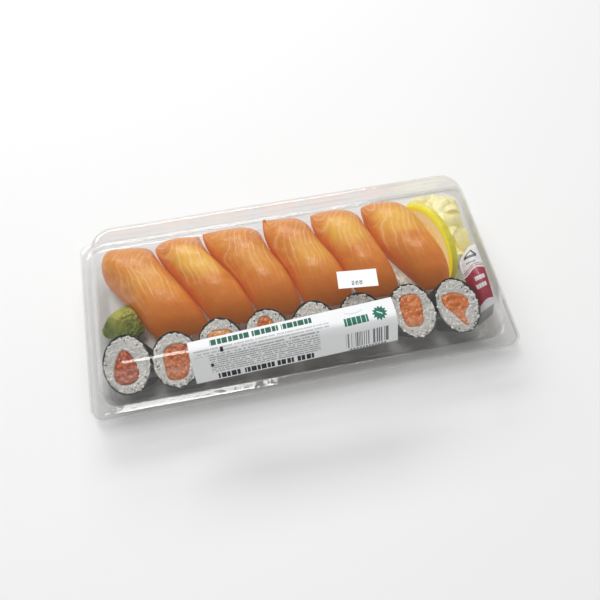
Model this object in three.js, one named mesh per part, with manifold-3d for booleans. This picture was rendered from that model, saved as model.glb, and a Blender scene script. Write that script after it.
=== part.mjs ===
// Takeaway sushi tray: a clear tray with its press-on lid, holding six salmon nigiri, eight thin rolls,
// wasabi, half a lemon slice, pickled ginger and a soy sauce packet, under a wrap-over label.
// Millimetres, +Z up, +X along the tray, -Y towards the labelled front; z = 0 is the floor.

import * as THREE from 'three';
import { mergeVertices } from 'three/addons/utils/BufferGeometryUtils.js';
import Module from 'manifold-3d';

const manifold = await Module();
manifold.setup();

// Pack
const rimLength = 240;
const rimWidth = 116;
const lidTop = 47;
const rimHeight = 18;
const lipDrop = 5;
const plastic = 0.6;
const turnSteps = 24;
const fit = 0.3;

// Food rows
const floorTop = plastic + fit;
const ridgeHeight = 35.5;
const sliceMidY = 18.2;
const sliceHalfLength = 29.2;
const sliceThickness = 4;
const sliceEdgeZ = 9;
const rollHeight = 25.5;
const rollLean = THREE.MathUtils.degToRad(22);
const noriThickness = 0.6;

const group = new THREE.Group();

function add(name, geometry, color, roughness, opacity = 1) {
  const finish = { color, roughness, metalness: 0, opacity, transparent: opacity < 1 };
  const mesh = new THREE.Mesh(geometry, new THREE.MeshStandardMaterial(finish));
  mesh.name = name;
  group.add(mesh);
}

// Moves every vertex of a stock shape by a rule, then joins the vertices that meet.
function reshape(stock, rule) {
  const at = stock.attributes.position;
  for (let i = 0; i < at.count; i += 1) {
    at.setXYZ(i, ...rule(at.getX(i), at.getY(i), at.getZ(i), i));
  }
  return joined(stock);
}

function joined(geometry) {
  geometry.deleteAttribute('normal');
  geometry.deleteAttribute('uv');
  const result = mergeVertices(geometry, 1e-3);
  if (signedVolume(result) < 0) flip(result);
  result.computeVertexNormals();
  return result;
}

function signedVolume(geometry) {
  const at = geometry.attributes.position;
  const corner = [0, 1, 2].map(() => new THREE.Vector3());
  let sum = 0;
  for (let i = 0; i < geometry.index.count; i += 3) {
    corner.forEach((point, k) => point.fromBufferAttribute(at, geometry.index.getX(i + k)));
    sum += corner[0].dot(corner[1].clone().cross(corner[2]));
  }
  return sum / 6;
}

function flip(geometry) {
  const index = geometry.index;
  for (let i = 0; i < index.count; i += 3) {
    const first = index.getX(i);
    index.setX(i, index.getX(i + 1));
    index.setX(i + 1, first);
  }
}

const mix = (from, to, share) => from + (to - from) * share;

// A smooth uneven relief between 0 and 1 whose bumps are about `size` apart.
function bumps(x, y, z, size, phase) {
  const k = Math.PI / size;
  const wave = Math.sin(k * x + phase) * Math.sin(k * y + 1.7 * phase)
    + Math.sin(k * (0.8 * x - 0.7 * z) + 2.3 * phase) * Math.sin(k * (0.9 * z + 0.5 * y) + phase);
  return 0.5 + 0.25 * wave;
}

// ---- Clear tray and lid -------------------------------------------------------------------------

// One level of a rounded-rectangle section: how far in from the rim, its height, its corner radius.
const level = (inset, z, corner) => ({ inset, z, corner });

// The levels of the other face of a sheet, one wall thickness inside or outside the first.
function otherFace(levels, thickness) {
  return levels.map((here, i) => {
    const before = levels[Math.max(i - 1, 0)];
    const after = levels[Math.min(i + 1, levels.length - 1)];
    const along = new THREE.Vector2(after.inset - before.inset, after.z - before.z).normalize();
    const inset = here.inset - along.y * thickness;
    return level(inset, here.z + along.x * thickness, Math.max(here.corner - (inset - here.inset), 1));
  });
}

// A lathed closed section whose four quarter turns are pushed apart into a rounded rectangle.
function roundedRectangle(levels) {
  const turned = new THREE.LatheGeometry(
    levels.map(({ corner, z }) => new THREE.Vector2(corner, z)), turnSteps, Math.PI / turnSteps);
  return reshape(turned, (x, y, z, i) => {
    const { inset, corner } = levels[i % levels.length];
    const spreadX = corner > 0 ? rimLength / 2 - inset - corner : 0;
    const spreadY = corner > 0 ? rimWidth / 2 - inset - corner : 0;
    return [x + Math.sign(x) * spreadX, z + Math.sign(z) * spreadY, y];
  });
}

// From the middle of the lid's top, over its rounded edge and down the wall, to the lip that grips the rim.
const lidOutside = [
  level(15.4, lidTop, 9.5),
  level(13.4, lidTop - 0.7, 11),
  level(11.9, lidTop - 3, 12),
  level(6.2, rimHeight + 1.8, 11),
  level(5.2, rimHeight + 0.2, 10.5),
  level(1.2, rimHeight, 6.6),
  level(0.2, rimHeight - 1, 6.2),
  level(0, rimHeight - lipDrop, 6.1),
];

function makeLid() {
  const inside = otherFace(lidOutside, plastic).reverse();
  return roundedRectangle([
    level(0, lidTop, 0), ...lidOutside, ...inside, level(0, lidTop - plastic, 0),
  ]);
}

// From the middle of the floor, out under the wall and up, to the tray's own rim inside the lid's lip.
const trayOutside = [
  level(15, 0, 9),
  level(13, 0.5, 10),
  level(12, 2, 10.5),
  level(7, rimHeight - 3, 9.5),
  level(6, rimHeight - 2, 9),
  level(2.2, rimHeight - 1.8, 6.2),
  level(1.5, rimHeight - 2.6, 5.6),
  level(1.5, rimHeight - lipDrop + 0.4, 5.5),
];

function makeTray() {
  const inside = otherFace(trayOutside, -plastic).reverse();
  return roundedRectangle([
    level(0, 0, 0), ...trayOutside, ...inside, level(0, plastic, 0),
  ]);
}

// The room inside the shut pack, which soft food pressed against the walls is trimmed to.
function makeRoom() {
  return roundedRectangle([
    level(0, floorTop, 0),
    level(14.6, floorTop, 9),
    level(12.2, 3.2, 10),
    level(8.2, rimHeight - 2.5, 9.5),
    level(14, lidTop - 4, 11),
    level(17, lidTop - 1.4, 9),
    level(0, lidTop - 1.4, 0),
  ]);
}

// ---- Nigiri -------------------------------------------------------------------------------------

// The creases between neighbouring slices, seen from above: where each crosses the line y = 10, how
// steeply it runs across the tray in front of that line and behind it, how it bends at the back, and how
// much it leans outwards with height.
const creaseY = 10;
const bendY = 25;
const creases = [
  { x: -94.3, front: 0.53, back: 0.66, bend: 0.033, lean: 0 },
  { x: -60.2, front: 0.58, back: 0.56, bend: 0.0085, lean: 0 },
  { x: -30.3, front: 0.466, back: 0.6, bend: 0.0115, lean: 0 },
  { x: -0.5, front: 0.325, back: 0.42, bend: 0.013, lean: 0 },
  { x: 30, front: 0.344, back: 0.44, bend: 0.011, lean: 0 },
  { x: 57.6, front: 0.344, back: 0.28, bend: 0.006, lean: 0 },
  { x: 86.2, front: 0.364, back: 0.33, bend: 0, lean: 0.2 },
];

// Each slice: how high it rides above the common ridge, how far its left and right corners are pulled
// in at the back, how far its left edge draws in at the front, how far back the whole slice lies, how
// high its left and right edges end, how high its back left corner curls and how far its front reaches.
const slices = [
  { rise: -1.2, pulls: [2.5, 3.3], frontCut: 0, shift: -1.4, edges: [0, 9], curl: 10, reach: 1.2 },
  { rise: 0.2, pulls: [5, -1.3], frontCut: 0, shift: -0.8, edges: [9, 9], curl: 0, reach: 0.5 },
  { rise: -0.2, pulls: [1.5, 8], frontCut: 0, shift: 0.2, edges: [9, 9], curl: 4, reach: 0.5 },
  { rise: 0.2, pulls: [1.5, 9], frontCut: 0, shift: 0.6, edges: [9, 9], curl: 8, reach: 0.5 },
  { rise: 0.8, pulls: [1.5, 12], frontCut: 1, shift: 0.6, edges: [9, 9], curl: 4, reach: 0.5 },
  { rise: 1.2, pulls: [2.5, 7], frontCut: 11, shift: 0.6, edges: [9, 11], curl: 4, reach: 1.5 },
];

// What all slices share: how far the ridge drops to the back and the front end, how full the arch and
// the sides are, and how the ends draw in, rise off the rice, curl and thin out. A power says how late
// towards an end or an edge a change sets in.
const slice = {
  backDrop: 11.5, frontDrop: 21.5, dropPower: 3.4, archPower: 0.75, sidePower: 0.8,
  frontPull: 2, pullPower: 3, cutPower: 1.4, backNarrowing: 0.06, frontNarrowing: 0.12,
  narrowingPower: 5, tipLift: 3, tipPower: 4, edgeSettling: 1, curlSide: 1.2, curlReach: 1.6,
  hemThinning: 0.75, endThinning: 0.35, thinningPower: 4, endEase: 0.85, groove: 0.35, grooveSpacing: 7,
};

const frontCutAt = (k, s) => slices[k].frontCut * Math.max(s, 0) ** slice.cutPower;

function creaseX(which, y, z) {
  const { x, front, back, bend, lean } = creases[which];
  const run = (creaseY - y) * (y < creaseY ? front : back);
  return x + run + bend * Math.max(y - bendY, 0) ** 2 + lean * (z - sliceEdgeZ);
}

// A point of slice k: s runs -1 (back) to 1 (front), v -1 (left edge) to 1 (right edge), and depth is
// how far below the outer face it lies.
function slicePoint(k, s, v, depth) {
  const { rise, pulls, shift, edges, curl, reach } = slices[k];
  const side = v < 0 ? 0 : 1;
  const [toBack, toFront] = [Math.max(-s, 0), Math.max(s, 0)];
  const pull = (s < 0 ? pulls[side] : slice.frontPull) * v * v * Math.abs(s) ** slice.pullPower;
  const y = sliceMidY + shift - s * (sliceHalfLength - pull) - reach * toFront ** 2;
  const drop = (s < 0 ? slice.backDrop : slice.frontDrop) * Math.abs(s) ** slice.dropPower;
  const ridge = ridgeHeight + rise - drop;
  const arch = Math.abs(Math.cos(v * Math.PI / 2)) ** slice.archPower;
  const lift = edges[side] * Math.abs(v) * (1 - slice.edgeSettling * toFront ** 2);
  const edge = sliceEdgeZ + lift + slice.tipLift * toBack ** slice.tipPower;
  const corner = curl * Math.max(-v, 0) ** slice.curlSide * toBack ** slice.curlReach;
  const z = edge + (ridge - depth - edge) * arch + corner;
  const left = creaseX(k, y, z) + fit / 2 + frontCutAt(k, s);
  const right = creaseX(k + 1, y, z) - fit / 2;
  const endNarrowing = s < 0 ? slice.backNarrowing : slice.frontNarrowing;
  const narrowing = endNarrowing * Math.abs(s) ** slice.narrowingPower;
  const half = (right - left) / 2 * (1 - narrowing) - depth * slice.hemThinning;
  const across = Math.sign(v) * Math.abs(Math.sin(v * Math.PI / 2)) ** slice.sidePower;
  return [(left + right) / 2 + half * across, y, z];
}

function makeSlice(k) {
  const sheet = new THREE.BoxGeometry(2, 2, 1, 8, 12, 1);
  return reshape(sheet, (v, s, side) => {
    const eased = Math.sign(s) * Math.abs(s) ** slice.endEase;
    const thinning = slice.endThinning * Math.abs(s) ** slice.thinningPower;
    const depth = side > 0 ? 0 : sliceThickness * (1 - thinning);
    const [x, y, z] = slicePoint(k, -eased, v, depth);
    const dip = slice.groove * bumps(x, y, z, slice.grooveSpacing, k) * Math.cos(v * Math.PI / 2);
    return [x, y, side > 0 ? z - dip : z];
  });
}

// The rice under a slice: how far it reaches to the slice's two ends, the gap to the slice, the size and
// spacing of its grains' bumps, the height of its widest line, how much and how late its ends draw in,
// how its foot draws in, and how much of a drawn-in front edge it fills.
const loaf = {
  backReach: 0.82, frontReach: 0.72, sideReach: 0.98, gap: fit + 0.5,
  grain: 1.1, grainSpacing: 5, waist: sliceEdgeZ + 1, endTaper: 0.3, endPower: 6, footTaper: 0.1,
  footSlope: 2.2, spill: 1.2, spillSlope: 3,
};

// A rounded loaf that follows the slice's underside and sits on the floor.
function makeNigiriRice(k) {
  const below = sliceThickness + loaf.gap;
  const stock = new THREE.CylinderGeometry(1, 1, 2, 16, 9);
  return reshape(stock, (cx, along, cz) => {
    const s = -(along > 0 ? loaf.backReach : loaf.frontReach) * Math.sin(along * Math.PI / 2);
    const radius = Math.hypot(cx, cz);
    const taper = radius * (1 - loaf.endTaper * Math.abs(along) ** loaf.endPower);
    const turn = Math.asin(THREE.MathUtils.clamp(cx / Math.max(radius, 1e-6), -1, 1));
    const v = loaf.sideReach * turn / (Math.PI / 2);
    const half = sliceHalfLength / 2;
    const relief = loaf.grain * bumps(cx * half, along * half, cz * half, loaf.grainSpacing, k);
    const [edgeX, y, crown] = slicePoint(k, s, v * radius, below + relief);
    const [midX, , midZ] = slicePoint(k, s, 0, below);
    if (cz >= 0) {
      return [mix(midX, edgeX, taper), y, mix(loaf.waist, Math.max(crown, loaf.waist), taper)];
    }
    const sink = Math.min(-cz * loaf.footSlope, 1);
    const spill = loaf.spill * Math.min(sink * loaf.spillSlope, 1);
    const spilled = edgeX - spill * frontCutAt(k, s) * Math.max(-v, 0);
    const foot = mix(loaf.waist, floorTop, sink);
    return [mix(midX, spilled, taper * (1 + loaf.footTaper * cz)), y, Math.min(foot, midZ)];
  });
}

// ---- Thin rolls ---------------------------------------------------------------------------------

// Each roll, left to right: middle of its top face, half width and half depth of the face, and how far
// the oval face is turned, seen from above.
const rolls = [
  { x: -97, y: -32.8, a: 13, b: 16.6, turn: 0 },
  { x: -70.8, y: -34.8, a: 12.9, b: 15.6, turn: 0 },
  { x: -45.2, y: -30.4, a: 12.7, b: 14.8, turn: 0 },
  { x: -19.2, y: -29.6, a: 12.7, b: 14.8, turn: 0 },
  { x: 7, y: -29.8, a: 12.9, b: 14.8, turn: 0 },
  { x: 33.6, y: -30.3, a: 13.3, b: 15.2, turn: 0 },
  { x: 63.2, y: -30.8, a: 12.4, b: 16.2, turn: 18 },
  { x: 88.5, y: -32.2, a: 12.1, b: 16.2, turn: 13 },
];

// Each roll's salmon core: half sizes, squareness of its corners, taper towards the back, sideways hook
// of its ends, its middle, and how suddenly it narrows where the taper isn't even.
const cores = [
  { a: 6, b: 9.4, square: 2.2, taper: 0.42, hook: 0, x: -1, y: -1.4 },
  { a: 6.8, b: 9.6, square: 3.4, taper: -0.1, hook: -1, x: 0.4, y: -1.4 },
  { a: 7, b: 5.2, square: 3, taper: 0, hook: 0.3, x: 0, y: 2.6 },
  { a: 5, b: 7.4, square: 2.6, taper: 0.25, hook: 0, x: -0.6, y: 3 },
  { a: 6.2, b: 5.8, square: 3, taper: 0, hook: 0, x: 0.4, y: -1.4 },
  { a: 6, b: 6.4, square: 2.4, taper: -0.2, hook: 0.4, x: 0, y: -1.2 },
  { a: 6, b: 9.2, square: 3.6, taper: -0.05, hook: 0.4, x: -0.8, y: 0.2 },
  { a: 5, b: 9.8, square: 2.4, taper: -0.6, hook: 3.6, x: 0, y: -2.4, neck: 3 },
];

// A roll's foot stands further back than its top face, is pressed together a little with the others,
// and is rounder. Its rice swells between nori and core, and the core stands proud of it.
const rollSides = 20;
const foot = {
  back: (rollHeight - floorTop) * Math.tan(rollLean), squeeze: 0.955, width: 0.94, depth: 0.79,
};
const swelling = { height: 1.5, spacing: 3.4, atEdge: 0.3, dip: 0.35 };
const riceTrim = noriThickness + 1.7 * fit;
const coreProud = 0.6;

// The core's outline at a given angle, from the roll's own middle.
function coreOutline({ a, b, square, taper, hook, x, y, neck = 0 }, angle) {
  const [c, s] = [Math.cos(angle), Math.sin(angle)];
  const reach = (Math.abs(c / a) ** square + Math.abs(s / b) ** square) ** (-1 / square);
  const up = reach * s / b;
  const bend = -hook * up * Math.abs(up);
  const narrowing = taper * (neck ? Math.tanh(neck * up) : up);
  return [x + reach * c * (1 - narrowing) + bend, y + reach * s];
}

// Where a point of a roll lies: its place (px, py) in the round section, and share is 0 at the foot
// and 1 at the tilted top face.
function rollPoint({ x, y }, px, py, share, lift = 0) {
  const low = [x * foot.squeeze + px * foot.width, y + foot.back + py * foot.depth, floorTop];
  const top = [x + px, y + py * Math.cos(rollLean), rollHeight + py * Math.sin(rollLean) + lift];
  return low.map((value, i) => mix(value, top[i], share));
}

const ringAngle = (x, z) => Math.atan2(-z, x);

// A ring between two outlines, lathed as a closed band; profile holds [share across, share up].
function rollRing(roll, profile, inner, outer, lift) {
  const band = [...profile, profile[0]].map(([across, up]) => new THREE.Vector2(1 + across, up));
  return reshape(new THREE.LatheGeometry(band, rollSides), (x, up, z) => {
    const across = Math.hypot(x, z) - 1;
    const angle = ringAngle(x, z);
    const [from, to] = [inner(angle), outer(angle)];
    const [px, py] = [mix(from[0], to[0], across), mix(from[1], to[1], across)];
    return rollPoint(roll, px, py, up, up * lift(px, py, across));
  });
}

const flat = () => 0;

function oval({ a, b, turn }, trim) {
  const middle = new THREE.Vector2();
  const turned = THREE.MathUtils.degToRad(turn);
  return (angle) => new THREE.Vector2((a - trim) * Math.cos(angle), (b - trim) * Math.sin(angle))
    .rotateAround(middle, turned).toArray();
}

function grown(core, by) {
  return (angle) => coreOutline({ ...core, a: core.a + by, b: core.b + by }, angle);
}

function makeNori(roll) {
  const section = [[0, 0], [1, 0], [1, 1], [0, 1]];
  return rollRing(roll, section, oval(roll, noriThickness), oval(roll, 0), flat);
}

function makeRollRice(roll, core, seed) {
  const section = [[0, 0], [1, 0], [1, 1], [0.76, 1], [0.5, 1], [0.24, 1], [0, 1]];
  const swell = (px, py, across) => {
    const share = Math.min(1, 4 * across * (1 - across) + swelling.atEdge);
    return swelling.height * share * (bumps(px, py, 0, swelling.spacing, seed) - swelling.dip);
  };
  return rollRing(roll, section, grown(core, fit), oval(roll, riceTrim), swell);
}

function makeCore(roll, core) {
  const rod = new THREE.CylinderGeometry(1, 1, 1, rollSides, 1);
  return reshape(rod, (x, up, z) => {
    const outward = Math.hypot(x, z) > 0.5 ? 1 : 0;
    const [px, py] = coreOutline(core, ringAngle(x, z));
    const share = up + 0.5;
    return rollPoint(roll, mix(core.x, px, outward), mix(core.y, py, outward), share, share * coreProud);
  });
}

// ---- Garnish ------------------------------------------------------------------------------------

function toManifold(geometry) {
  return new manifold.Manifold(new manifold.Mesh({
    numProp: 3,
    vertProperties: new Float32Array(geometry.attributes.position.array),
    triVerts: new Uint32Array(geometry.index.array),
  }));
}

function fromManifold(solid) {
  const mesh = solid.getMesh();
  const geometry = new THREE.BufferGeometry();
  geometry.setAttribute('position', new THREE.BufferAttribute(mesh.vertProperties, 3));
  geometry.setIndex(new THREE.BufferAttribute(mesh.triVerts, 1));
  return joined(geometry);
}

// Half a lemon slice on its cut edge, leaning slightly right against the ginger.
const lemon = {
  x: 88.3, y: 20.6, z: 9.2, radius: 28, thickness: 4.6, turn: 20, lean: 10, tilt: 10,
  bevel: 0.5, rind: 3.4, hollow: 0.5,
};

function lemonMatrix() {
  const { x, y, z } = lemon;
  const [turn, lean, tilt] = [lemon.turn, lemon.lean, lemon.tilt].map(THREE.MathUtils.degToRad);
  return new THREE.Matrix4().makeTranslation(x, y, z)
    .multiply(new THREE.Matrix4().makeRotationZ(turn))
    .multiply(new THREE.Matrix4().makeRotationY(lean))
    .multiply(new THREE.Matrix4().makeRotationX(tilt));
}

// The half disc's rim is bevelled, and its flesh lies a little below the rind.
function makeLemon() {
  const { radius, thickness, bevel, rind, hollow } = lemon;
  const section = [
    [0, 0], [radius - bevel, 0], [radius, -bevel], [radius, bevel - thickness],
    [radius - bevel, -thickness], [radius - rind, -thickness],
    [radius - rind - hollow, hollow - thickness], [0, hollow - thickness],
  ];
  const turned = new THREE.LatheGeometry(section.map(([r, w]) => new THREE.Vector2(r, w)), 48);
  const disc = toManifold(reshape(turned, (x, y, z) => [y, z, x]));
  const upper = new THREE.BoxGeometry(4 * thickness, 3 * radius, 2 * radius).translate(0, 0, radius);
  return fromManifold(disc.intersect(toManifold(joined(upper)))).applyMatrix4(lemonMatrix());
}

// A box covering everything left of the lemon's right face, kept clear by the ginger.
function makeLemonSide() {
  const side = new THREE.BoxGeometry(rimLength, rimLength, rimLength).translate(fit - rimLength / 2, 0, 0);
  return toManifold(joined(side).applyMatrix4(lemonMatrix()));
}

const ginger = {
  x: 97.5, y: 25, halfX: 13, halfY: 21, coreHeight: 26.6,
  sheet: 1.6, rippleX: 1.2, rippleY: 0.9, droop: 4, pinch: 2.4, tip: 0.3,
};

// One folded slice of ginger: a thin sheet, bent over its length and rippled both ways.
function gingerSlice(wide, long, fold, phase) {
  const sheet = new THREE.BoxGeometry(wide, long, ginger.sheet, 3, 5, 1);
  return reshape(sheet, (x, y, z) => {
    const along = y / long;
    const round = Math.max(1 - ginger.pinch * along * along, ginger.tip);
    const across = ginger.rippleX * Math.sin(x / 2 + phase);
    const lengthwise = ginger.rippleY * Math.sin(y * 0.45 + 2 * phase);
    return [x * round, y, z + across + lengthwise - fold * ginger.droop * along * along];
  });
}

// The heap: a low core and slices of ginger lying over it, all pressed into the pack's corner.
const gingerSlices = [
  { x: -7, y: 15, z: 25, wide: 15, long: 23, fold: 7, turn: 70, roll: -14, pitch: 8 },
  { x: 3, y: 11, z: 30, wide: 17, long: 24, fold: 6, turn: 35, roll: 6, pitch: 4 },
  { x: 8, y: 3, z: 28, wide: 14, long: 24, fold: 8, turn: -15, roll: 20, pitch: 0 },
  { x: 1, y: 1, z: 31, wide: 15, long: 21, fold: 7, turn: 100, roll: -6, pitch: -6 },
  { x: 7, y: -8, z: 25, wide: 13, long: 22, fold: 7, turn: 20, roll: 10, pitch: -14 },
  { x: 3, y: -15, z: 20, wide: 13, long: 19, fold: 5, turn: 65, roll: 4, pitch: -24 },
  { x: -5, y: 8, z: 30, wide: 12, long: 18, fold: 5, turn: 150, roll: -12, pitch: 10 },
];

function makeGinger() {
  const { x, y, halfX, halfY, coreHeight } = ginger;
  const lump = new THREE.IcosahedronGeometry(1, 2);
  const core = reshape(lump, (ux, uy, uz) => [
    x + halfX * ux, y + halfY * uy, Math.max(coreHeight * uz, 0),
  ]);
  const heap = gingerSlices.reduce((sum, piece, i) => {
    const { wide, long, fold, turn, roll, pitch } = piece;
    const [rx, ry, rz] = [pitch, roll, turn].map(THREE.MathUtils.degToRad);
    const place = new THREE.Matrix4().makeRotationFromEuler(new THREE.Euler(rx, ry, rz, 'ZYX'));
    place.setPosition(x + piece.x, y + piece.y, piece.z);
    return sum.add(toManifold(gingerSlice(wide, long, fold, i).applyMatrix4(place)));
  }, toManifold(core));
  return fromManifold(heap.intersect(toManifold(makeRoom())).subtract(makeLemonSide()));
}

// A torn lump of wasabi between the first nigiri, the first roll and the left wall. Its foot is cut
// flat below its widest line and drawn in. Above the share `leanFrom` of its height it leans forward
// and to the right, and its thinner sides stand a little lower.
const wasabi = {
  x: -98.5, y: 0.6, halfX: 13, halfY: 12, height: 23, cutAt: -0.35, footWidth: 0.7,
  evenness: 0.8, rough: 0.3, roughSpacing: 0.55, skewX: 0.6, skewY: -0.9, leanFrom: 0.3,
  sag: 0.14, tilt: 0.12,
};

function makeWasabi() {
  const { x, y, halfX, halfY, height, cutAt, footWidth, evenness, rough, roughSpacing } = wasabi;
  const lump = reshape(new THREE.IcosahedronGeometry(1, 3), (ux, uy, uz) => {
    const uneven = evenness + rough * bumps(ux, uy, uz, roughSpacing, 3.1);
    const rise = (Math.max(uz, cutAt) - cutAt) / (1 - cutAt);
    const slim = mix(footWidth, 1, Math.min(rise * 2, 1)) * uneven;
    const placeY = y + halfY * slim * uy + wasabi.skewY * (rise - wasabi.leanFrom);
    const placeZ = floorTop + (height - floorTop) * rise * (1 - wasabi.sag * (1 - uneven));
    const nigiriSide = creaseX(0, placeY, placeZ) - fit;
    const placeX = x + halfX * slim * (ux + wasabi.tilt * uz) + wasabi.skewX * (rise - wasabi.leanFrom);
    return [Math.min(placeX, nigiriSide), placeY, placeZ];
  });
  return fromManifold(toManifold(lump).intersect(toManifold(makeRoom())));
}

// A filled sauce packet leaning in the gap between the last roll and the right wall. Its spine runs
// from the top end down to the curled bottom end, with the way its width points at each place.
const packetSpine = new THREE.CatmullRomCurve3([
  new THREE.Vector3(106.4, 1.5, 31.6),
  new THREE.Vector3(102.9, -7.5, 30.8),
  new THREE.Vector3(103.1, -18.5, 28.9),
  new THREE.Vector3(105.4, -29.5, 22.6),
  new THREE.Vector3(105, -38.5, 13.2),
]);
const packet = {
  halfWidth: 6.7, fill: 2.2, film: 0.8, steepTop: 22, steepFoot: 62, tipShare: 1 / 4, tipNarrowing: 0.75,
  tipPower: 1.5,
};

function makePacket() {
  const pillow = new THREE.BoxGeometry(2, 2, 1, 4, 12, 1);
  return reshape(pillow, (across, along, side) => {
    const share = (1 - along) / 2;
    const middle = packetSpine.getPoint(share);
    const run = packetSpine.getTangent(share);
    const steep = mix(packet.steepTop, packet.steepFoot, share ** 2);
    const turn = THREE.MathUtils.degToRad(steep);
    const width = new THREE.Vector3(Math.cos(turn), 0, Math.sin(turn));
    const outward = new THREE.Vector3().crossVectors(width, run).normalize();
    const nearTip = Math.max(1 - share / packet.tipShare, 0);
    const swell = Math.max((1 - across ** 2) * (1 - Math.abs(along) ** 4), 0);
    const half = packet.film / 2 + packet.fill * swell;
    const narrowing = packet.tipNarrowing * nearTip ** packet.tipPower;
    middle.addScaledVector(width, across * packet.halfWidth * (1 - narrowing));
    middle.addScaledVector(outward, Math.sign(side) * half);
    return middle.toArray();
  });
}

// ---- Labels -------------------------------------------------------------------------------------

const paper = 0.25;
const labelGap = 0.15;
const label = { left: -62.5, right: 47.6, topY: -35.6, foot: 27.2, skew: 3.1 };
const slopeOf = Math.tan(THREE.MathUtils.degToRad(label.skew));

// The paper label: flat on the lid's top, bent over its front edge and down its front wall.
function makeLabel() {
  const bend = lidOutside.slice(0, 3).map(({ inset, z }) => [inset - rimWidth / 2, z]);
  const [wallY, wallZ] = bend[2];
  const wallSlope = (lidOutside[3].inset - lidOutside[2].inset) / (lidOutside[3].z - lidOutside[2].z);
  const middleX = (label.left + label.right) / 2;
  const rows = bend.length + 1;
  const strip = new THREE.BoxGeometry(1, rows, 1, 1, rows, 1);
  return reshape(strip, (share, step, side) => {
    const row = Math.round(rows / 2 - step);
    const drift = (mix(label.left, label.right, share + 0.5) - middleX) * slopeOf;
    const footZ = label.foot + drift;
    const path = [[label.topY + drift, lidTop], ...bend, [wallY + (footZ - wallZ) * wallSlope, footZ]];
    const [y, z] = path[row];
    const before = path[Math.max(row - 1, 0)];
    const after = path[Math.min(row + 1, rows)];
    const normal = new THREE.Vector2(after[1] - before[1], before[0] - after[0]).normalize();
    const lift = labelGap + (side > 0 ? paper : 0);
    const down = label.topY - y + lidTop - z;
    const x = mix(label.left, label.right, share + 0.5) + down * slopeOf * 0.5;
    return [x, y + normal.x * lift, z + normal.y * lift];
  });
}

const sticker = { x: 32.8, y: -17.6, wide: 21.6, high: 11, turn: -6 };

function makeSticker() {
  const { x, y, wide, high, turn } = sticker;
  const flatPiece = new THREE.BoxGeometry(wide, high, paper).rotateZ(THREE.MathUtils.degToRad(turn));
  return joined(flatPiece.translate(x, y, lidTop + labelGap + paper / 2));
}

// ---- Everything in its place --------------------------------------------------------------------

add('tray', makeTray(), 0xd6d8cf, 0.12, 0.3);
add('lid', makeLid(), 0xe2e4de, 0.08, 0.25);
slices.forEach((_, k) => {
  add(`nigiri_rice_${k + 1}`, makeNigiriRice(k), 0xe9e6df, 0.6);
  add(`nigiri_salmon_${k + 1}`, makeSlice(k), 0xe98f4c, 0.32);
});
rolls.forEach((roll, k) => {
  add(`roll_nori_${k + 1}`, makeNori(roll), 0x1d231f, 0.55);
  add(`roll_rice_${k + 1}`, makeRollRice(roll, cores[k], k + 1), 0xdddad5, 0.6);
  add(`roll_salmon_${k + 1}`, makeCore(roll, cores[k]), 0xd97440, 0.35);
});
add('wasabi', makeWasabi(), 0x8ba04a, 0.6);
add('lemon_slice', makeLemon(), 0xe6dc3c, 0.4);
add('ginger', makeGinger(), 0xdfd99a, 0.35);
add('soy_packet', makePacket(), 0xa02f42, 0.3);
add('label', makeLabel(), 0xf2f2f2, 0.5);
add('price_sticker', makeSticker(), 0xf6f6f6, 0.5);

export default group;
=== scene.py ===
# A shut takeaway sushi tray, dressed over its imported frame.
# Sizes are in millimetres until a piece is settled, which brings it to metres.
import bpy
import bmesh
import random
from math import asin, atan2, copysign, cos, exp, hypot, pi, radians, sin, sqrt, tan, tanh, tau
from mathutils import Matrix, Vector, noise


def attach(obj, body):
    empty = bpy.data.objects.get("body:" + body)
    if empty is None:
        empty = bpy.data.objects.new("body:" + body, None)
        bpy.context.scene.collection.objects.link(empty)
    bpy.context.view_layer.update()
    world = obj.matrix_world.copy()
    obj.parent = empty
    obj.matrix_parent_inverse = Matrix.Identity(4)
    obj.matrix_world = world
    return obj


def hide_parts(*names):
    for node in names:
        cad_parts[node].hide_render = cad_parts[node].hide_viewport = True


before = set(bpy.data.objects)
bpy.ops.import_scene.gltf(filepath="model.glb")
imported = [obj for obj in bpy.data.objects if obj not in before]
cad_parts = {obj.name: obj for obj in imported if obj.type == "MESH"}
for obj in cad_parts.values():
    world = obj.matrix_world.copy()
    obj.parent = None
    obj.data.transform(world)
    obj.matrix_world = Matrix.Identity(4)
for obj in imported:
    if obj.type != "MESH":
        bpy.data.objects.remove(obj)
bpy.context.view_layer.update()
print("frame loaded with", len(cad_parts), "nodes")

scene = bpy.context.scene
scene.view_settings.view_transform = "Standard"
scene.cycles.transparent_max_bounces = 32  # many clear walls lie behind one another

pack = {"length": 240, "width": 116, "top": 47, "wall": 0.6, "fit": 0.3}
floorTop = pack["wall"] + pack["fit"]


def paint(code):  # a screen colour as linear values
    channels = [int(code[i:i + 2], 16) / 255 for i in (0, 2, 4)]
    linear = [c / 12.92 if c <= 0.04045 else ((c + 0.055) / 1.055) ** 2.4 for c in channels]
    return (*linear, 1.0)


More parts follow.
